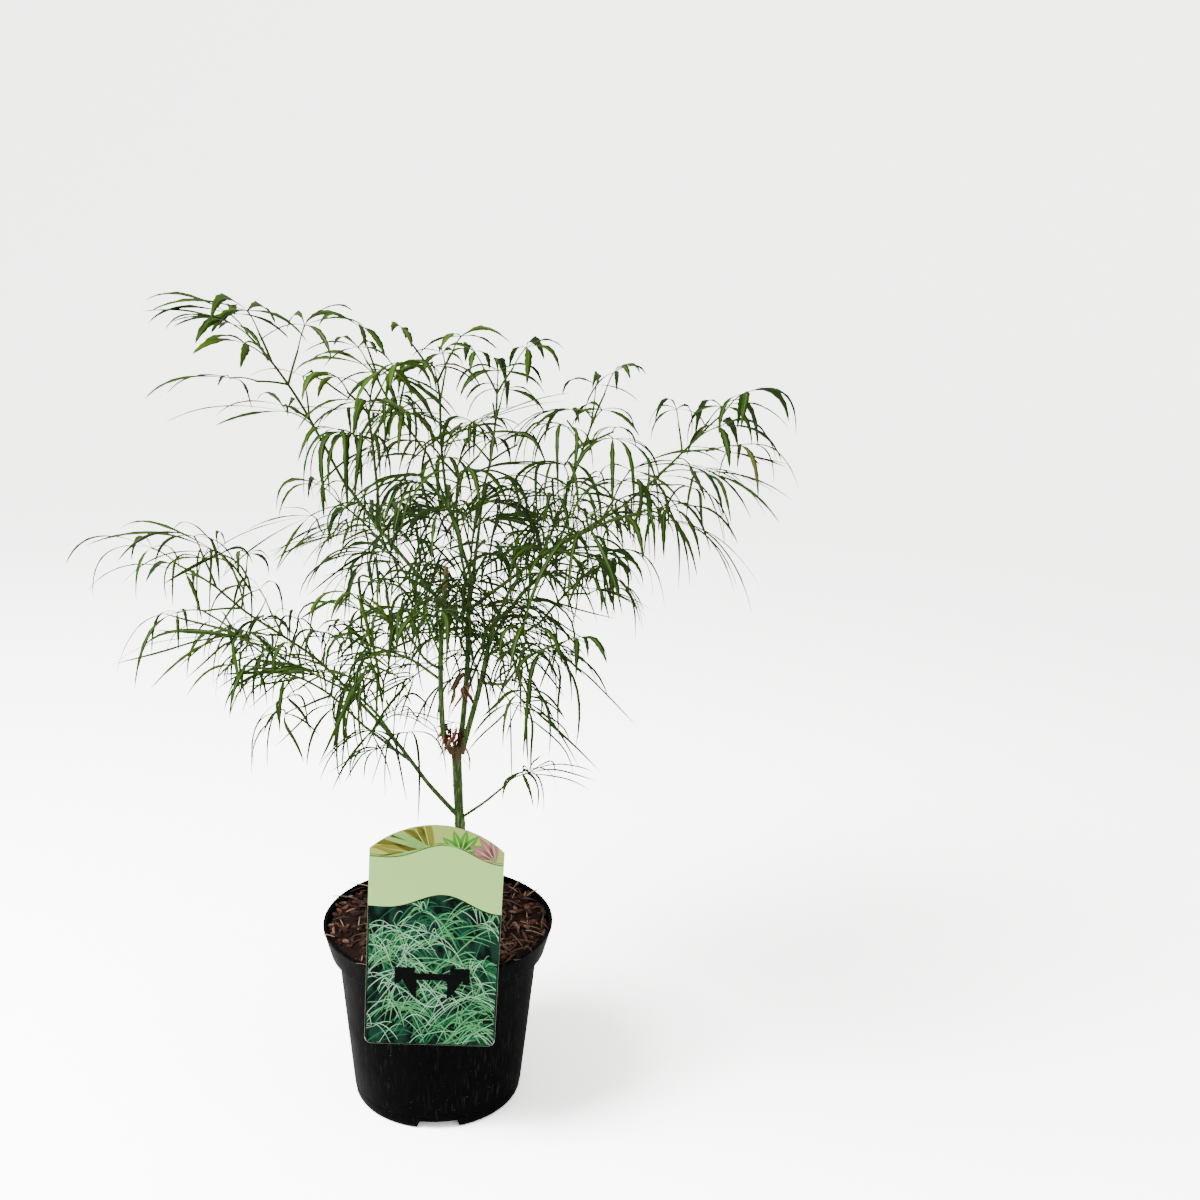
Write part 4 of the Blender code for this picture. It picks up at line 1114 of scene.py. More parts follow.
def scattered(count, rng, reach):
    """Places spread evenly over the bed, off the trunk's own foot."""
    radius = reach * np.sqrt(rng.uniform(0, 1, count))
    a = rng.uniform(0, 2 * np.pi, count)
    x, y = radius * np.cos(a), radius * np.sin(a)
    keep = np.hypot(x - TRUNK[0][0], y) > FOOT_CLEAR
    return x[keep], y[keep]


def soil_finish(settings):
    """Dark crumbs between the chips."""
    soil = finish("soil", settings.soil, 0.95, Specular_IOR_Level=0.15)
    tree = soil.node_tree
    mask, height = mottle(tree, place_vector(tree, (1.0, 1.0, 1.0)), 260.0, 0.35, 0.65)
    into(soil, mixed(tree, mask, settings.soil, settings.bark_dark), "Base Color")
    bumped(soil, height, 0.9, 0.002)
    return soil


def chip_finish(name, shade):
    """Bark of one colour, with a lighter and darker grain."""
    made = finish(name, shade, 0.80, Specular_IOR_Level=0.20)
    tree = made.node_tree
    grain, height = mottle(tree, place_vector(tree, (1.0, 0.35, 1.0)), 900.0, 0.38, 0.66)
    dark, light = [c * 0.55 for c in shade], [min(c * 1.35, 1) for c in shade]
    into(made, mixed(tree, grain, dark, light), "Base Color")
    bumped(made, height, 0.6, 0.0005)
    return made


def bark_chips(settings, rng):
    """Chips of all sizes, sunk a little in the bed or standing a little out of it."""
    finishes = [chip_finish(name, getattr(settings, name))
                for name in ("bark_dark", "bark_brown", "bark_red", "bark_tan")]
    x, y = scattered(settings.chips, rng, CHIPS_REACH)
    count = len(x)
    centre = np.stack([x, y, bed_height(x, y) + rng.uniform(-0.0012, 0.0026, count)], axis=1)
    grade = rng.uniform(0.32, 1.0, count) ** 1.4
    size = np.stack([settings.chip * grade * rng.uniform(0.7, 1.2, count),
                     settings.chip * 0.48 * grade * rng.uniform(0.6, 1.2, count),
                     settings.chip * 0.34 * grade * rng.uniform(0.6, 1.4, count)], axis=1)
    points = chip_points(centre, size, rng)
    faces = outwards(points, list(sleeves(count, 2, CHIP_SIDES)))
    kind = rng.choice(4, count, p=(0.42, 0.36, 0.15, 0.07))
    tints = np.concatenate([np.repeat(kind, CHIP_SIDES), kind, kind])
    return put_mesh("bark_chips", points, faces, finishes, tints, soft=False)


def straw_bits(settings, rng):
    """Thin bowed bits that lie on the chips. Those that pass the pot's wall lie on its rim."""
    x, y = scattered(settings.straws, rng, STRAWS_REACH)
    count = len(x)
    start = np.stack([x, y, bed_height(x, y) + rng.uniform(0.0012, 0.0036, count)], axis=1)
    a, reach = rng.uniform(0, 2 * np.pi, count), rng.uniform(0.006, 0.024, count)
    way = np.stack([np.cos(a), np.sin(a), rng.uniform(-0.10, 0.16, count)], axis=1)
    end = start + way * reach[:, None]
    beyond = np.hypot(end[:, 0], end[:, 1]) / STRAWS_EDGE
    end[:, :2] /= np.maximum(beyond, 1)[:, None]
    end[:, 2] = np.where(beyond > 0.94, np.maximum(end[:, 2], POT_HEIGHT + 0.0008), end[:, 2])
    taper = np.array([0.7, 1, 1, 0.9, 0.5])
    path = bowed(start, end, 0.05, len(taper))
    radii = rng.uniform(0.00025, 0.00070, count)[:, None] * taper
    points, faces = tubes(path, radii, STRAW_SIDES)
    finishes = [finish("straw", settings.straw, 0.7),
                finish("straw_dull", [c * 0.30 for c in settings.straw], 0.75)]
    kind = rng.choice(2, count, p=(0.30, 0.70))
    tints = np.concatenate([np.repeat(kind, STRAW_SIDES * (len(taper) - 1)), kind, kind])
    return put_mesh("straw_bits", points, faces, finishes, tints, soft=False)


# ---------------------------------------------------------------- label
CARD_WIDTH = 0.1012
CARD_HEIGHT = 0.186
CARD_ARCH = 0.021
CARD_THICKNESS = 0.0008
CARD_CORNER = 0.006
CARD_CENTRE = (-0.0070, -0.1000, 0.0980)
CARD_ROLL = math.radians(2.0)
CARD_YAW = math.radians(-3.0)
PRINT_MARGIN = 0.0001
PRINT_STEP = 0.00004  # each layer of print stands this much before the last
PRINT_SUNK = 0.0002  # and its back lies this deep in the card
PRINT_KEEP = 0.0012  # strands keep this far inside their field
BAND_FOOT = 0.1160  # height of the band's lower edge
BAND_TALL = 0.0410
RULE = 0.0004  # how far the line over the band stands out above it
LOOP_REACH = 0.0135
LOOP_HEIGHT = 0.0335


def card_points(x, y, z):
    """Points of the card's own frame, X across it and Z up from its foot, turned into place."""
    c, s = math.cos(CARD_ROLL), math.sin(CARD_ROLL)
    x, z = c * x + s * z, c * z - s * x
    c, s = math.cos(CARD_YAW), math.sin(CARD_YAW)
    x, y = c * x - s * y, s * x + c * y
    return np.stack([x, y, z], axis=-1) + np.array(CARD_CENTRE)


def card_top(x, inset=0.0):
    """The arch over the card, drawn in by an inset: the shoulder plus the rise times
    (1 - (x / half)^2)^0.9.
    """
    half = CARD_WIDTH / 2 - inset
    return CARD_HEIGHT - CARD_ARCH - inset + CARD_ARCH * np.clip(1 - (x / half) ** 2, 0, 1) ** 0.9


def slab(x, z, front, back):
    """A thin closed plate between two depths in the card's frame, from an outline that turns left."""
    count = len(x)
    points = np.concatenate([card_points(x, np.full(count, y), z) for y in (front, back)])
    k = np.arange(count)
    sides = np.stack([k, (k + 1) % count, count + (k + 1) % count, count + k], axis=1)
    faces = [np.arange(count)[None, ::-1], (count + np.arange(count))[None], sides]
    return points, outwards(points, faces)


def card_outline():
    """The card's edge: rounded foot corners and an arched top."""
    half, corner = CARD_WIDTH / 2, CARD_CORNER
    x, z = [], []
    for side, first in ((-1, np.pi), (1, 1.5 * np.pi)):
        a = first + np.linspace(0, np.pi / 2, 9)
        x.append(side * (half - corner) + corner * np.cos(a))
        z.append(corner + corner * np.sin(a))
    across = half * np.cos(np.linspace(0, np.pi, 61))
    return np.concatenate([*x, across]), np.concatenate([*z, card_top(across)])


def wave(x, lift):
    """The edge of the printed band: a shallow swell across the card, higher in the middle."""
    return BAND_FOOT + lift + 0.0125 * np.cos(x / 0.034) ** 3 + 0.0022 * np.sin(x / 0.011)


def layer_depths(layer):
    """Where a layer of print begins and ends, before and in the card."""
    return -CARD_THICKNESS / 2 - PRINT_STEP * layer, -CARD_THICKNESS / 2 + PRINT_SUNK


def strip(x, low, high, layer):
    """A printed area between two curves over x."""
    return slab(np.concatenate([x, x[::-1]]), np.concatenate([low, high[::-1]]), *layer_depths(layer))


def lens(foot, length, wide, turn, layer, low, high):
    """A pointed oval from its foot: half its width times the sine of pi t^0.8, along its length,
    held between two curves over x.
    """
    t = np.linspace(0, 1, 17)
    along, half = t * length, wide / 2 * np.sin(np.pi * t ** 0.8)
    u, v = np.concatenate([along, along[-2:0:-1]]), np.concatenate([-half, half[-2:0:-1]])
    c, s = math.cos(turn), math.sin(turn)
    limit = CARD_WIDTH / 2 - PRINT_MARGIN - 0.0004
    x = np.clip(foot[0] + c * u - s * v, -limit, limit)
    z = np.clip(foot[1] + s * u + c * v, low(x) + 0.0003, high(x) - 0.0003)
    return slab(x, z, *layer_depths(layer))


def ribbons(root, angle, reach, droop, wide, layer):
    """Flat strands on the card: along t the middle runs out from its root at an angle and falls by
    droop times t squared. The width follows the root of the sine of pi t. What would leave the
    printed field closes to a sliver on its edge.
    """
    sliver = 1e-5
    t = np.linspace(0, 1, 15)
    x = root[:, :1] + (reach * np.cos(angle))[:, None] * t
    z = root[:, 1:] + (reach * np.sin(angle))[:, None] * t - droop[:, None] * t ** 2
    run = units(np.stack([np.gradient(x, axis=1), np.gradient(z, axis=1)], axis=-1))
    half = (wide / 2)[:, None] * (0.15 + np.sqrt(np.sin(np.pi * np.clip(t, 0, 1)))) + sliver
    limit, lowest = CARD_WIDTH / 2 - PRINT_MARGIN - PRINT_KEEP, PRINT_MARGIN + PRINT_KEEP
    inside = (np.abs(x) < limit) & (z > lowest) & (z < wave(x, 0.0) - PRINT_KEEP)
    half = np.where(inside, half, sliver)
    x = np.clip(x, -limit, limit)
    z = np.clip(z, lowest, wave(x, 0.0) - PRINT_KEEP)
    front, back = layer_depths(layer)
    ring = [(x + run[..., 1] * half * hand, np.full_like(x, y), z - run[..., 0] * half * hand)
            for hand, y in ((-1, front), (1, front), (1, back), (-1, back))]
    points = np.stack([card_points(*corner) for corner in ring], axis=2).reshape(-1, 3)
    return points, outwards(points, list(sleeves(len(root), len(t), 4)))


# The print's finishes, in the order of their numbers.
PRINT = ("field", "band", "sky", "strand_deep", "strand", "strand_pale", "rule", "ochre", "bright",
         "pink", "line")
# How many strands each layer has, from the back, their finish and how wide they are.
STRANDS = ((230, "strand_deep", 0.0008), (210, "strand", 0.0006), (130, "strand_pale", 0.0004))
STRAND_HUBS = 22
# The fans of pointed ovals over the band: foot, first angle, step, count, length, width and finish.
FANS = (((-0.004, 0.1615), 190, -17, 6, 0.046, 0.0105, "ochre"),
        ((0.018, 0.1645), 172, -31, 6, 0.019, 0.0062, "bright"),
        ((0.044, 0.1580), 172, -24, 4, 0.024, 0.0062, "pink"))


def print_areas(half):
    """The lower field, the band, the head and the thin lines, as (points, faces, finish number)."""
    x = np.linspace(-half, half, 61)
    past = np.clip(np.abs(x) - half + CARD_CORNER, 0, None) / CARD_CORNER
    foot = PRINT_MARGIN + CARD_CORNER * (1 - np.sqrt(np.clip(1 - past ** 2, 0, 1)))
    top = card_top(x, PRINT_MARGIN)
    back = [(*strip(x, foot, wave(x, 0.0), 1), PRINT.index("field")),
            (*strip(x, wave(x, 0.0), wave(x, BAND_TALL), 1), PRINT.index("band")),
            (*strip(x, wave(x, BAND_TALL), np.maximum(top, wave(x, BAND_TALL + RULE / 2)), 1),
             PRINT.index("sky")),
            (*strip(x, wave(x, BAND_TALL - 0.0005), wave(x, BAND_TALL + RULE), 2), PRINT.index("rule"))]
    upper = np.minimum(wave(x, BAND_TALL + 0.0018), top - 0.0003)
    u = np.linspace(-LOOP_REACH, LOOP_REACH, 31)
    loop = LOOP_HEIGHT + 0.0085 * (u / LOOP_REACH) ** 2
    front = [(*strip(x, wave(x, BAND_TALL + 0.0014), upper, 3), PRINT.index("rule")),
             (*strip(u, loop - 0.00045, loop + 0.00045, 6), PRINT.index("line"))]
    return back, front


def card_print():
    """The card's generic print as (points, faces, finish number) sets, from the back to the front."""
    rng = np.random.default_rng(SEED + 3)
    half = CARD_WIDTH / 2 - PRINT_MARGIN
    sets, front = print_areas(half)
    for layer, (count, name, wide) in enumerate(STRANDS, 2):
        hubs = np.stack([rng.uniform(-half, half, STRAND_HUBS), rng.uniform(0.004, 0.124, STRAND_HUBS)],
                        axis=1)
        root = hubs[rng.integers(0, STRAND_HUBS, count)] + rng.normal(0, 0.0022, (count, 2))
        strands = ribbons(root, rng.uniform(-0.4, np.pi + 0.4, count), rng.uniform(0.014, 0.038, count),
                          rng.uniform(0.004, 0.034, count), wide * rng.uniform(0.6, 1.6, count), layer)
        sets.append((*strands, PRINT.index(name)))

    def head_foot(x):
        return wave(x, BAND_TALL + RULE)

    def head_top(x):
        return card_top(x, PRINT_MARGIN)

    for fan, (foot, first, step, count, length, wide, name) in enumerate(FANS):
        for k in range(count):
            turn, layer = math.radians(first + step * k), 3 + 2 * fan
            oval = lens(foot, length, wide, turn, layer, head_foot, head_top)
            rib = lens(foot, length * 0.86, 0.0005, turn, layer + 1, head_foot, head_top)
            sets += [(*oval, PRINT.index(name)), (*rib, PRINT.index("band"))]
    return sets + front


def card_body(settings):
    """The card, pale on its faces and dark along its cut edge."""
    finishes = [finish("card", settings.card, 0.38, Specular_IOR_Level=0.15),
                finish("card_edge", settings.edge, 0.6, Specular_IOR_Level=0.1)]
    x, z = card_outline()
    points, faces = slab(x, z, -CARD_THICKNESS / 2, CARD_THICKNESS / 2)
    return put_mesh("card", points, faces, finishes, np.repeat([0, 1], (2, len(x))), soft=False)


def card_front(settings):
    """The print: even colours, and a ground with lighter patches under the strands."""
    field = finish("print_field", settings.shade, 0.5, Specular_IOR_Level=0.06)
    tree = field.node_tree
    mask, _ = mottle(tree, place_vector(tree, (1.0, 1.0, 0.5)), 120.0, 0.46, 0.60)
    into(field, mixed(tree, mask, settings.shade, settings.shade_light), "Base Color")
    finishes = [field] + [finish("print_" + name, getattr(settings, name), 0.5,
                                 Specular_IOR_Level=0.06) for name in PRINT[1:]]
    points, faces, tints = gathered(card_print())
    return put_mesh("card_print", points, faces, finishes, tints, soft=False)


def clip_finish(shade):
    """Black plastic that is a little uneven."""
    black = finish("clip_plastic", shade, 0.36, Specular_IOR_Level=0.06)
    tree = black.node_tree
    mask, height = mottle(tree, place_vector(tree, (1.0, 1.0, 1.0)), 700.0, 0.35, 0.65)
    into(black, ranged(tree, mask, 0.0, 1.0, 0.30, 0.46), "Roughness")
    bumped(black, height, 0.15, 0.0002)
    return black


# ---------------------------------------------------------------- floor
def floor_finish(settings):
    """A matt pale floor that is brighter to the eye than to the plant, so that it stays near white."""
    made = finish("floor", settings.floor, 0.95, Specular_IOR_Level=0.1)
    tree = made.node_tree
    bright, seen = tree.nodes.new("ShaderNodeBsdfDiffuse"), tree.nodes.new("ShaderNodeMixShader")
    bright.inputs["Color"].default_value = (*[c * settings.glow for c in settings.floor], 1.0)
    path = tree.nodes.new("ShaderNodeLightPath")
    tree.links.new(path.outputs["Is Camera Ray"], seen.inputs["Fac"])
    tree.links.new(tree.nodes["Principled BSDF"].outputs["BSDF"], seen.inputs[1])
    tree.links.new(bright.outputs["BSDF"], seen.inputs[2])
    tree.links.new(seen.outputs["Shader"], tree.nodes["Material Output"].inputs["Surface"])
    return made


FLOOR_FLAT = (0.3, 2.4)  # radii of the first flat ring past the middle and of the last
FLOOR_BEND = 1.6  # radius of the bend from the floor up to its surround
FLOOR_DROP = 0.0002  # the floor lies this far under the pot
CROWN = Vector((0.0, 0.0, 0.35))  # what the lights point at


def curved_floor(settings):
    """A disc that bends up in a quarter circle and ends in an upright surround."""
    near, far = FLOOR_FLAT
    turn = np.linspace(0, np.pi / 2, 17)[1:]
    radius = np.concatenate([[0.02], np.linspace(near, far, 8), far + FLOOR_BEND * np.sin(turn),
                             [far + FLOOR_BEND] * 2])
    height = np.concatenate([np.full(9, -FLOOR_DROP), FLOOR_BEND * (1 - np.cos(turn)), [2.4, 3.2]])
    a = np.linspace(0, 2 * np.pi, 96, endpoint=False)
    points = np.stack([radius[:, None] * np.cos(a), radius[:, None] * np.sin(a),
                       height[:, None] + 0 * a], axis=-1)
    quads, first, _ = sleeves(1, len(radius), len(a))
    mesh = bpy.data.meshes.new("floor")
    mesh.from_pydata(points.reshape(-1, 3).tolist(), [],
                     [*quads[:, ::-1].tolist(), *first[:, ::-1].tolist()])
    mesh.polygons.foreach_set("use_smooth", np.full(len(mesh.polygons), True))
    mesh.materials.append(floor_finish(settings))
    return bpy.data.objects.new("floor", mesh)


# ---------------------------------------------------------------- settings
def linear(red, green, blue):
    """A screen colour, 0 to 255, as linear light."""
    return tuple((c / 255 / 12.92) if c <= 10 else ((c / 255 + 0.055) / 1.055) ** 2.4
                 for c in (red, green, blue))


def colour_property(name, description, default):
    """A colour setting, whose default is given as a screen colour."""
    return bpy.props.FloatVectorProperty(name=name, description=description, subtype="COLOR", size=3,
                                         min=0.0, max=1.0, default=linear(*default))


def length_property(name, description, default):
    """A length setting in metres."""
    return bpy.props.FloatProperty(name=name, description=description, default=default, min=0.0,
                                   unit="LENGTH", precision=4)


class MapleLeafSettings(bpy.types.PropertyGroup):
    broad: length_property("Broad lobe", "Width of a young lobe", 0.0092)
    narrow: length_property("Narrow lobe", "Width of an old outer lobe", 0.0028)
    fine_broad: length_property("Fine lobe, young", "Width of a young inner lobe", 0.0062)
    thread: length_property("Thread", "Width of an old inner lobe", 0.0018)
    fullness: bpy.props.FloatProperty(name="Fullness", default=1.0, min=0.0, max=1.0, subtype="FACTOR",
                                      description="Share of the nodes that bear a fine leaf")
    thread_dark: colour_property("Thread, dark", "Old hanging threads in shade", (38, 54, 20))
    thread_tint: colour_property("Thread", "Old hanging threads", (48, 70, 22))
    deep: colour_property("Deep green", "Old leaves", (42, 68, 16))
    grown: colour_property("Grown green", "Grown leaves", (44, 72, 13))
    bright: colour_property("Bright green", "Leaves in the light", (45, 73, 13))
    fresh: colour_property("Fresh green", "Young leaves", (52, 81, 14))
    lime: colour_property("Lime green", "Youngest leaves", (68, 97, 19))
    olive: colour_property("Olive", "Fading leaves", (84, 82, 34))
    rib: colour_property("Rib", "Middle ribs of broad lobes", (88, 114, 36))
    stalk: colour_property("Stalk", "Leaf stalks", (84, 108, 30))
    twig: colour_property("Twig", "Twigs and young stems", (60, 84, 22))


class MapleBarkSettings(bpy.types.PropertyGroup):
    relief: bpy.props.FloatProperty(name="Relief", default=0.045, min=0.0, max=0.3, subtype="FACTOR",
                                    description="Depth of the bark's ridges, as a share of the radius")
    node: length_property("Node spacing", "From one swollen node to the next", 0.034)
    green: colour_property("Young bark", "Green of the trunk and stems", (54, 86, 34))
    streak: colour_property("Streak", "Pale streaks along the bark", (124, 146, 78))
    wood: colour_property("Wood", "Corky brown at the fork and foot", (104, 84, 58))
    stub: colour_property("Cut stub", "Dry wood of a pruned tip", (148, 122, 80))
    withered: colour_property("Withered", "Dead blades at the fork", (170, 118, 84))
    bud: colour_property("Bud", "Crimson buds at the fork", (112, 18, 34))


class MaplePotSettings(bpy.types.PropertyGroup):
    plastic: colour_property("Plastic", "Pot", (3, 3, 4))
    scuff: colour_property("Scuff", "Fine scratches on the pot", (62, 64, 62))
    dust: colour_property("Dust", "Specks of dust", (110, 104, 94))
    clip: colour_property("Clip", "Label clip", (4, 4, 5))


class MapleBedSettings(bpy.types.PropertyGroup):
    chips: bpy.props.IntProperty(name="Chips", description="Bark chips on the bed", default=1500,
                                 min=0)
    straws: bpy.props.IntProperty(name="Straws", description="Straw-coloured bits on the bed",
                                  default=190, min=0)
    chip: length_property("Chip", "Half the length of a large chip", 0.0066)
    soil: colour_property("Soil", "Between the chips", (30, 18, 13))
    bark_dark: colour_property("Dark bark", "Dark chips", (34, 20, 15))
    bark_brown: colour_property("Brown bark", "Brown chips", (70, 44, 34))
    bark_red: colour_property("Red bark", "Reddish chips", (96, 58, 44))
    bark_tan: colour_property("Tan bark", "Light chips", (138, 104, 82))
    straw: colour_property("Straw", "Straw-coloured bits", (160, 128, 98))


class MapleLabelSettings(bpy.types.PropertyGroup):
    card: colour_property("Card", "The card and its edge", (222, 234, 204))
    edge: colour_property("Edge", "The card's cut edge", (70, 88, 66))
    shade: colour_property("Field", "Ground of the lower field", (6, 16, 15))
    shade_light: colour_property("Field, light", "Patches in the lower field", (22, 60, 44))
    band: colour_property("Band", "Wavy band", (204, 255, 150))
    sky: colour_property("Head", "Ground above the band", (188, 214, 112))
    strand_deep: colour_property("Strand, deep", "Back strands", (38, 112, 72))
    strand: colour_property("Strand", "Middle strands", (104, 184, 118))
    strand_pale: colour_property("Strand, pale", "Front strands", (174, 228, 188))
    rule: colour_property("Rule", "Thin lines", (92, 128, 72))
    ochre: colour_property("Ochre", "Ochre pointed ovals", (152, 148, 58))
    bright: colour_property("Bright", "Green pointed ovals", (96, 170, 60))
    pink: colour_property("Pink", "Pink pointed ovals", (190, 120, 132))
    line: colour_property("Line", "The line low on the field", (196, 214, 200))


class MapleStageSettings(bpy.types.PropertyGroup):
    lens: bpy.props.FloatProperty(name="Lens", description="Focal length", default=43.87, unit="CAMERA")
    place: bpy.props.FloatVectorProperty(name="Camera", description="Where the camera stands", size=3,
                                         subtype="TRANSLATION", unit="LENGTH",
                                         default=(0.0, -1.1125, 0.7422))
    yaw: bpy.props.FloatProperty(name="Yaw", description="Turn to the right", default=0.1135,
                                 unit="ROTATION")
    pitch: bpy.props.FloatProperty(name="Pitch", description="Tilt down", default=0.2715,
                                   unit="ROTATION")
    roll: bpy.props.FloatProperty(name="Roll", description="Lean of the view", default=0.0328,
                                  unit="ROTATION")
    key: bpy.props.FloatProperty(name="Key light", description="Power of the main soft light",
                                 default=58.0, unit="POWER")
    fill: bpy.props.FloatProperty(name="Fill light", description="Power of the second soft light",
                                  default=10.0, unit="POWER")
    world: bpy.props.FloatProperty(name="World", description="Strength of the even light", default=0.46)
    glow: bpy.props.FloatProperty(name="Floor brightness", default=7.5, min=1.0,
                                  description="How much lighter the floor is to the eye")
    floor: colour_property("Floor", "Floor and its curved surround", (240, 240, 238))


GROUPS = {"maple_leaf": MapleLeafSettings, "maple_bark": MapleBarkSettings,
          "maple_pot": MaplePotSettings, "maple_bed": MapleBedSettings,
          "maple_label": MapleLabelSettings, "maple_stage": MapleStageSettings}


# ---------------------------------------------------------------- operators
def node_object(name):
    """The frame's own object for a node."""
    return next(o for o in bpy.data.objects if o.name == name)


def dress(piece, material):
    """Gives a frame's object one finish."""
    piece.data.materials.clear()
    piece.data.materials.append(material)


class MAPLE_OT_pot(bpy.types.Operator):
    """Turn the nursery pot with its collar and drainage notches"""

    bl_idname = "maple.pot"
    bl_label = "Pot"

    def execute(self, context):
        points, faces = pot_surface()
        pot = put_mesh("nursery_pot", points, faces, [pot_finish(context.scene.maple_pot)])
        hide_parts("pot")
        return {"FINISHED"}


class MAPLE_OT_bed(bpy.types.Operator):
    """Fill the pot with soil, bark chips and straw-coloured bits"""

    bl_idname = "maple.bed"
    bl_label = "Bark bed"

    def execute(self, context):
        settings = context.scene.maple_bed
        rng = np.random.default_rng(SEED + 1)
        dress(node_object("substrate"), soil_finish(settings))
        for piece in (bark_chips(settings, rng), straw_bits(settings, rng)):
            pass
        return {"FINISHED"}


class MAPLE_OT_bark(bpy.types.Operator):
    """Grow the bark over the trunk, the three stems and the boughs"""

    bl_idname = "maple.bark"
    bl_label = "Trunk and boughs"

    def execute(self, context):
        settings = context.scene.maple_bark
        path, radii = trunk_path()
        fine = smooth(path, 4)
        radius = np.interp(np.linspace(0, len(path) - 1, len(fine)), np.arange(len(path)), radii)
        parts = [bark_surface(fine, radius * TRUNK_BARK, TRUNK_GRID, settings.relief * 1.6,
                              settings.node, SEED)]
        for k, limb in enumerate(STEMS):
            fine = smooth(limb_path(limb)[0], 3)
            radius = np.linspace(limb.foot * STEM_BARK[0], limb.tip * STEM_BARK[1], len(fine))
            parts.append(bark_surface(fine, radius, STEM_GRID, settings.relief, settings.node,
                                      SEED + k + 1))
        points, faces, _ = gathered(parts)
        trunk = put_mesh("trunk_bark", points, faces, [bark_finish("bark", settings, WOODY)])
        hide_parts("trunk", *[limb.name for limb in STEMS])
        parts = []
        for k, limb in enumerate(BOUGHS):
            fine = smooth(limb_path(limb)[0], 3)
            radius = np.linspace(limb.foot, limb.tip, len(fine)) * BOUGH_BARK
            parts.append(bark_surface(fine, radius, BOUGH_GRID, settings.relief,
                                      settings.node * 0.7, SEED + 20 + k))
        points, faces, _ = gathered(parts)
        boughs = put_mesh("bough_bark", points, faces, [bark_finish("bough_bark", settings, None)])
        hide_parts(*[limb.name for limb in BOUGHS])
        return {"FINISHED"}


class MAPLE_OT_foliage(bpy.types.Operator):
    """Grow the twigs and thread-like leaves of every mass, and the inner leaves on the stems"""

    bl_idname = "maple.foliage"
    bl_label = "Foliage"

    def execute(self, context):
        settings = context.scene.maple_leaf
        shades = [settings.thread_dark, settings.thread_tint, settings.deep, settings.grown,
                  settings.bright, settings.fresh, settings.lime, settings.olive]
        finishes = [finish("leaf_" + name, shade, 0.50, Specular_IOR_Level=0.16)
                    for name, shade in zip((*LEAF_TINTS, "rib"), (*shades, settings.rib))]
        wood = [finish("twig", settings.twig, 0.55, Specular_IOR_Level=0.2),
                finish("stalk", settings.stalk, 0.50, Specular_IOR_Level=0.2)]
        space = Space([trunk_path(), *[limb_path(limb) for limb in (*STEMS, *BOUGHS)]])
        outer, inner = (settings.narrow, settings.broad), (settings.thread, settings.fine_broad)
        for index, mass in enumerate(MASSES):
            rng = random.Random(SEED * 7000 + index)
            light = vigour(mass)
            twigs, leaves = sprout(index, mass, space)
            leaves = [(opened(leaf, light * (0.45 - 0.30 * (share == 1)), rng), share ** 1.6)
                      for leaf, share in leaves]
            given = dealt(leaves, outer, mass.breadth, light, rng)
            fine = fine_leaves(index, mass, space, twigs, settings.fullness)
            given += dealt(fine, inner, mass.breadth, light, rng)
            blades = leaf_mesh("leaves_" + mass.bough, given, finishes)
            stalks = twig_mesh("twigs_" + mass.bough, mass, twigs, given, wood)
            for piece in (blades, stalks):
                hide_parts("foliage_" + mass.bough)
        rng = random.Random(SEED * 7000 - 1)
        given = dealt(inner_leaves(space, 0.75 * settings.fullness), inner, 0.5, 0.5, rng)
        for piece in (leaf_mesh("leaves_inner", given, finishes),
                      twig_mesh("stalks_inner", None, [], given, wood)):
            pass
        return {"FINISHED"}


class MAPLE_OT_withered(bpy.types.Operator):
    """Hang withered blades and crimson buds at the fork, and the dry stub over the left stem's tip"""

    bl_idname = "maple.withered"
    bl_label = "Withered blades and stub"

    def execute(self, context):
        settings = context.scene.maple_bark
        withered_blades(settings)
        cut_stub(settings)
        return {"FINISHED"}


class MAPLE_OT_label(bpy.types.Operator):
    """Hang the printed card on the rim by its clip"""

    bl_idname = "maple.label"
    bl_label = "Label and clip"

    def execute(self, context):
        settings = context.scene.maple_label
        card = card_body(settings)
        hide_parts("label_card")
        card_front(settings)
        dress(node_object("label_clip"), clip_finish(context.scene.maple_pot.clip))
        return {"FINISHED"}


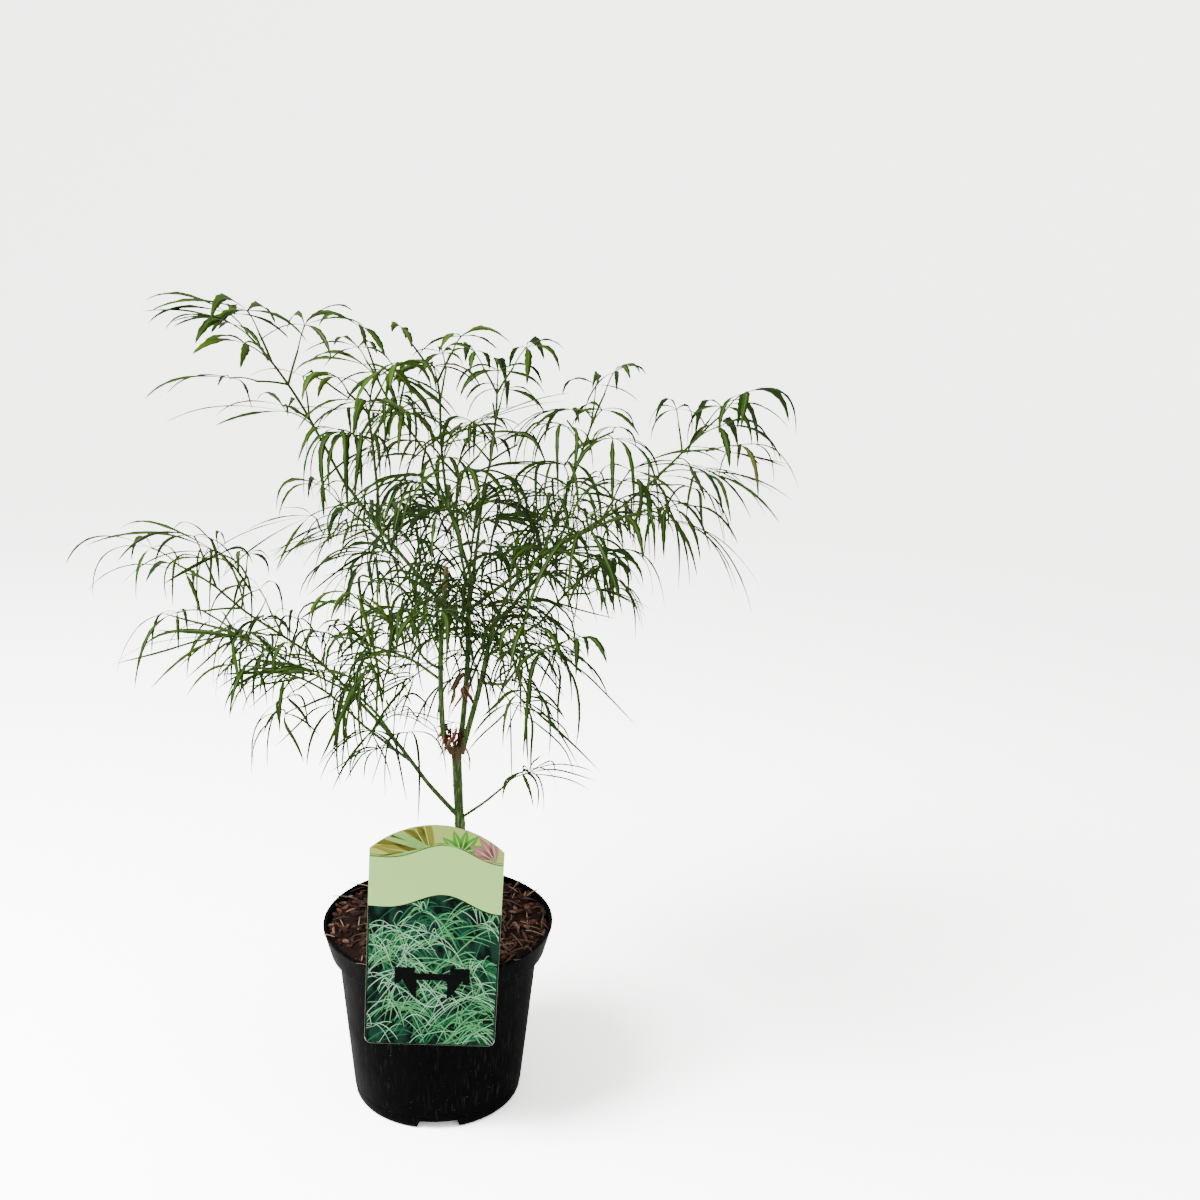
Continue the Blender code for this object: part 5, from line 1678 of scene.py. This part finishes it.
class MAPLE_OT_stage(bpy.types.Operator):
    """Lay the pale floor, hang the soft lights and place the camera"""

    bl_idname = "maple.stage"
    bl_label = "Stage"

    def execute(self, context):
        settings = context.scene.maple_stage
        floor = curved_floor(settings)
        context.scene.collection.objects.link(floor)
        for name, power, size, place in (("key", settings.key, 0.9, (-1.1, -0.5, 1.7)),
                                         ("fill", settings.fill, 2.0, (1.6, -1.2, 1.1))):
            light = bpy.data.lights.new(name, "AREA")
            light.energy = power
            light.size = size
            lamp = bpy.data.objects.new(name, light)
            lamp.location = place
            aim = CROWN - Vector(place)
            lamp.rotation_euler = aim.to_track_quat("-Z", "Y").to_euler()
            context.scene.collection.objects.link(lamp)
        world = bpy.data.worlds.new("studio")
        world.use_nodes = True
        background = world.node_tree.nodes["Background"]
        background.inputs["Color"].default_value = (1.0, 1.0, 1.0, 1.0)
        background.inputs["Strength"].default_value = settings.world
        context.scene.world = world
        yaw, pitch, roll = settings.yaw, settings.pitch, settings.roll
        ahead = Vector((math.sin(yaw) * math.cos(pitch), math.cos(yaw) * math.cos(pitch),
                        -math.sin(pitch)))
        right = Vector((math.cos(yaw), -math.sin(yaw), 0.0))
        up = right.cross(ahead)
        level = right * math.cos(roll) + up * math.sin(roll)
        upright = up * math.cos(roll) - right * math.sin(roll)
        camera = bpy.data.objects.new("camera", bpy.data.cameras.new("camera"))
        camera.data.lens = settings.lens
        camera.data.sensor_width = 36.0
        camera.location = settings.place
        camera.rotation_euler = Matrix((level, upright, -ahead)).transposed().to_euler()
        context.scene.collection.objects.link(camera)
        context.scene.camera = camera
        return {"FINISHED"}


class MAPLE_PT_panel(bpy.types.Panel):
    """The maple's pieces and their settings"""

    bl_label = "Potted Maple"
    bl_idname = "MAPLE_PT_panel"
    bl_space_type = "VIEW_3D"
    bl_region_type = "UI"
    bl_category = "Maple"

    def draw(self, context):
        for operator, group in STEPS:
            box = self.layout.box()
            box.operator(operator)
            settings = getattr(context.scene, group)
            for name in settings.__annotations__:
                box.prop(settings, name)


STEPS = (("maple.pot", "maple_pot"), ("maple.bed", "maple_bed"), ("maple.bark", "maple_bark"),
         ("maple.foliage", "maple_leaf"), ("maple.withered", "maple_bark"),
         ("maple.label", "maple_label"), ("maple.stage", "maple_stage"))
OPERATORS = (MAPLE_OT_pot, MAPLE_OT_bed, MAPLE_OT_bark, MAPLE_OT_foliage, MAPLE_OT_withered,
             MAPLE_OT_label, MAPLE_OT_stage)


def register():
    """Adds the settings to the scene, and the operators and the panel."""
    for group in GROUPS.values():
        bpy.utils.register_class(group)
    for name, group in GROUPS.items():
        setattr(bpy.types.Scene, name, bpy.props.PointerProperty(type=group))
    for operator in (*OPERATORS, MAPLE_PT_panel):
        bpy.utils.register_class(operator)


def unregister():
    """Takes the panel, the operators and the settings away again."""
    for operator in (MAPLE_PT_panel, *reversed(OPERATORS)):
        bpy.utils.unregister_class(operator)
    for name in GROUPS:
        delattr(bpy.types.Scene, name)
    for group in reversed(GROUPS.values()):
        bpy.utils.unregister_class(group)


def main():
    """Builds the plant, an operator at a time."""
    register()
    mottle_group()
    bpy.ops.maple.pot()
    bpy.ops.maple.bed()
    bpy.ops.maple.bark()
    bpy.ops.maple.foliage()
    bpy.ops.maple.withered()
    bpy.ops.maple.label()
    bpy.ops.maple.stage()


if __name__ == "__main__":
    main()
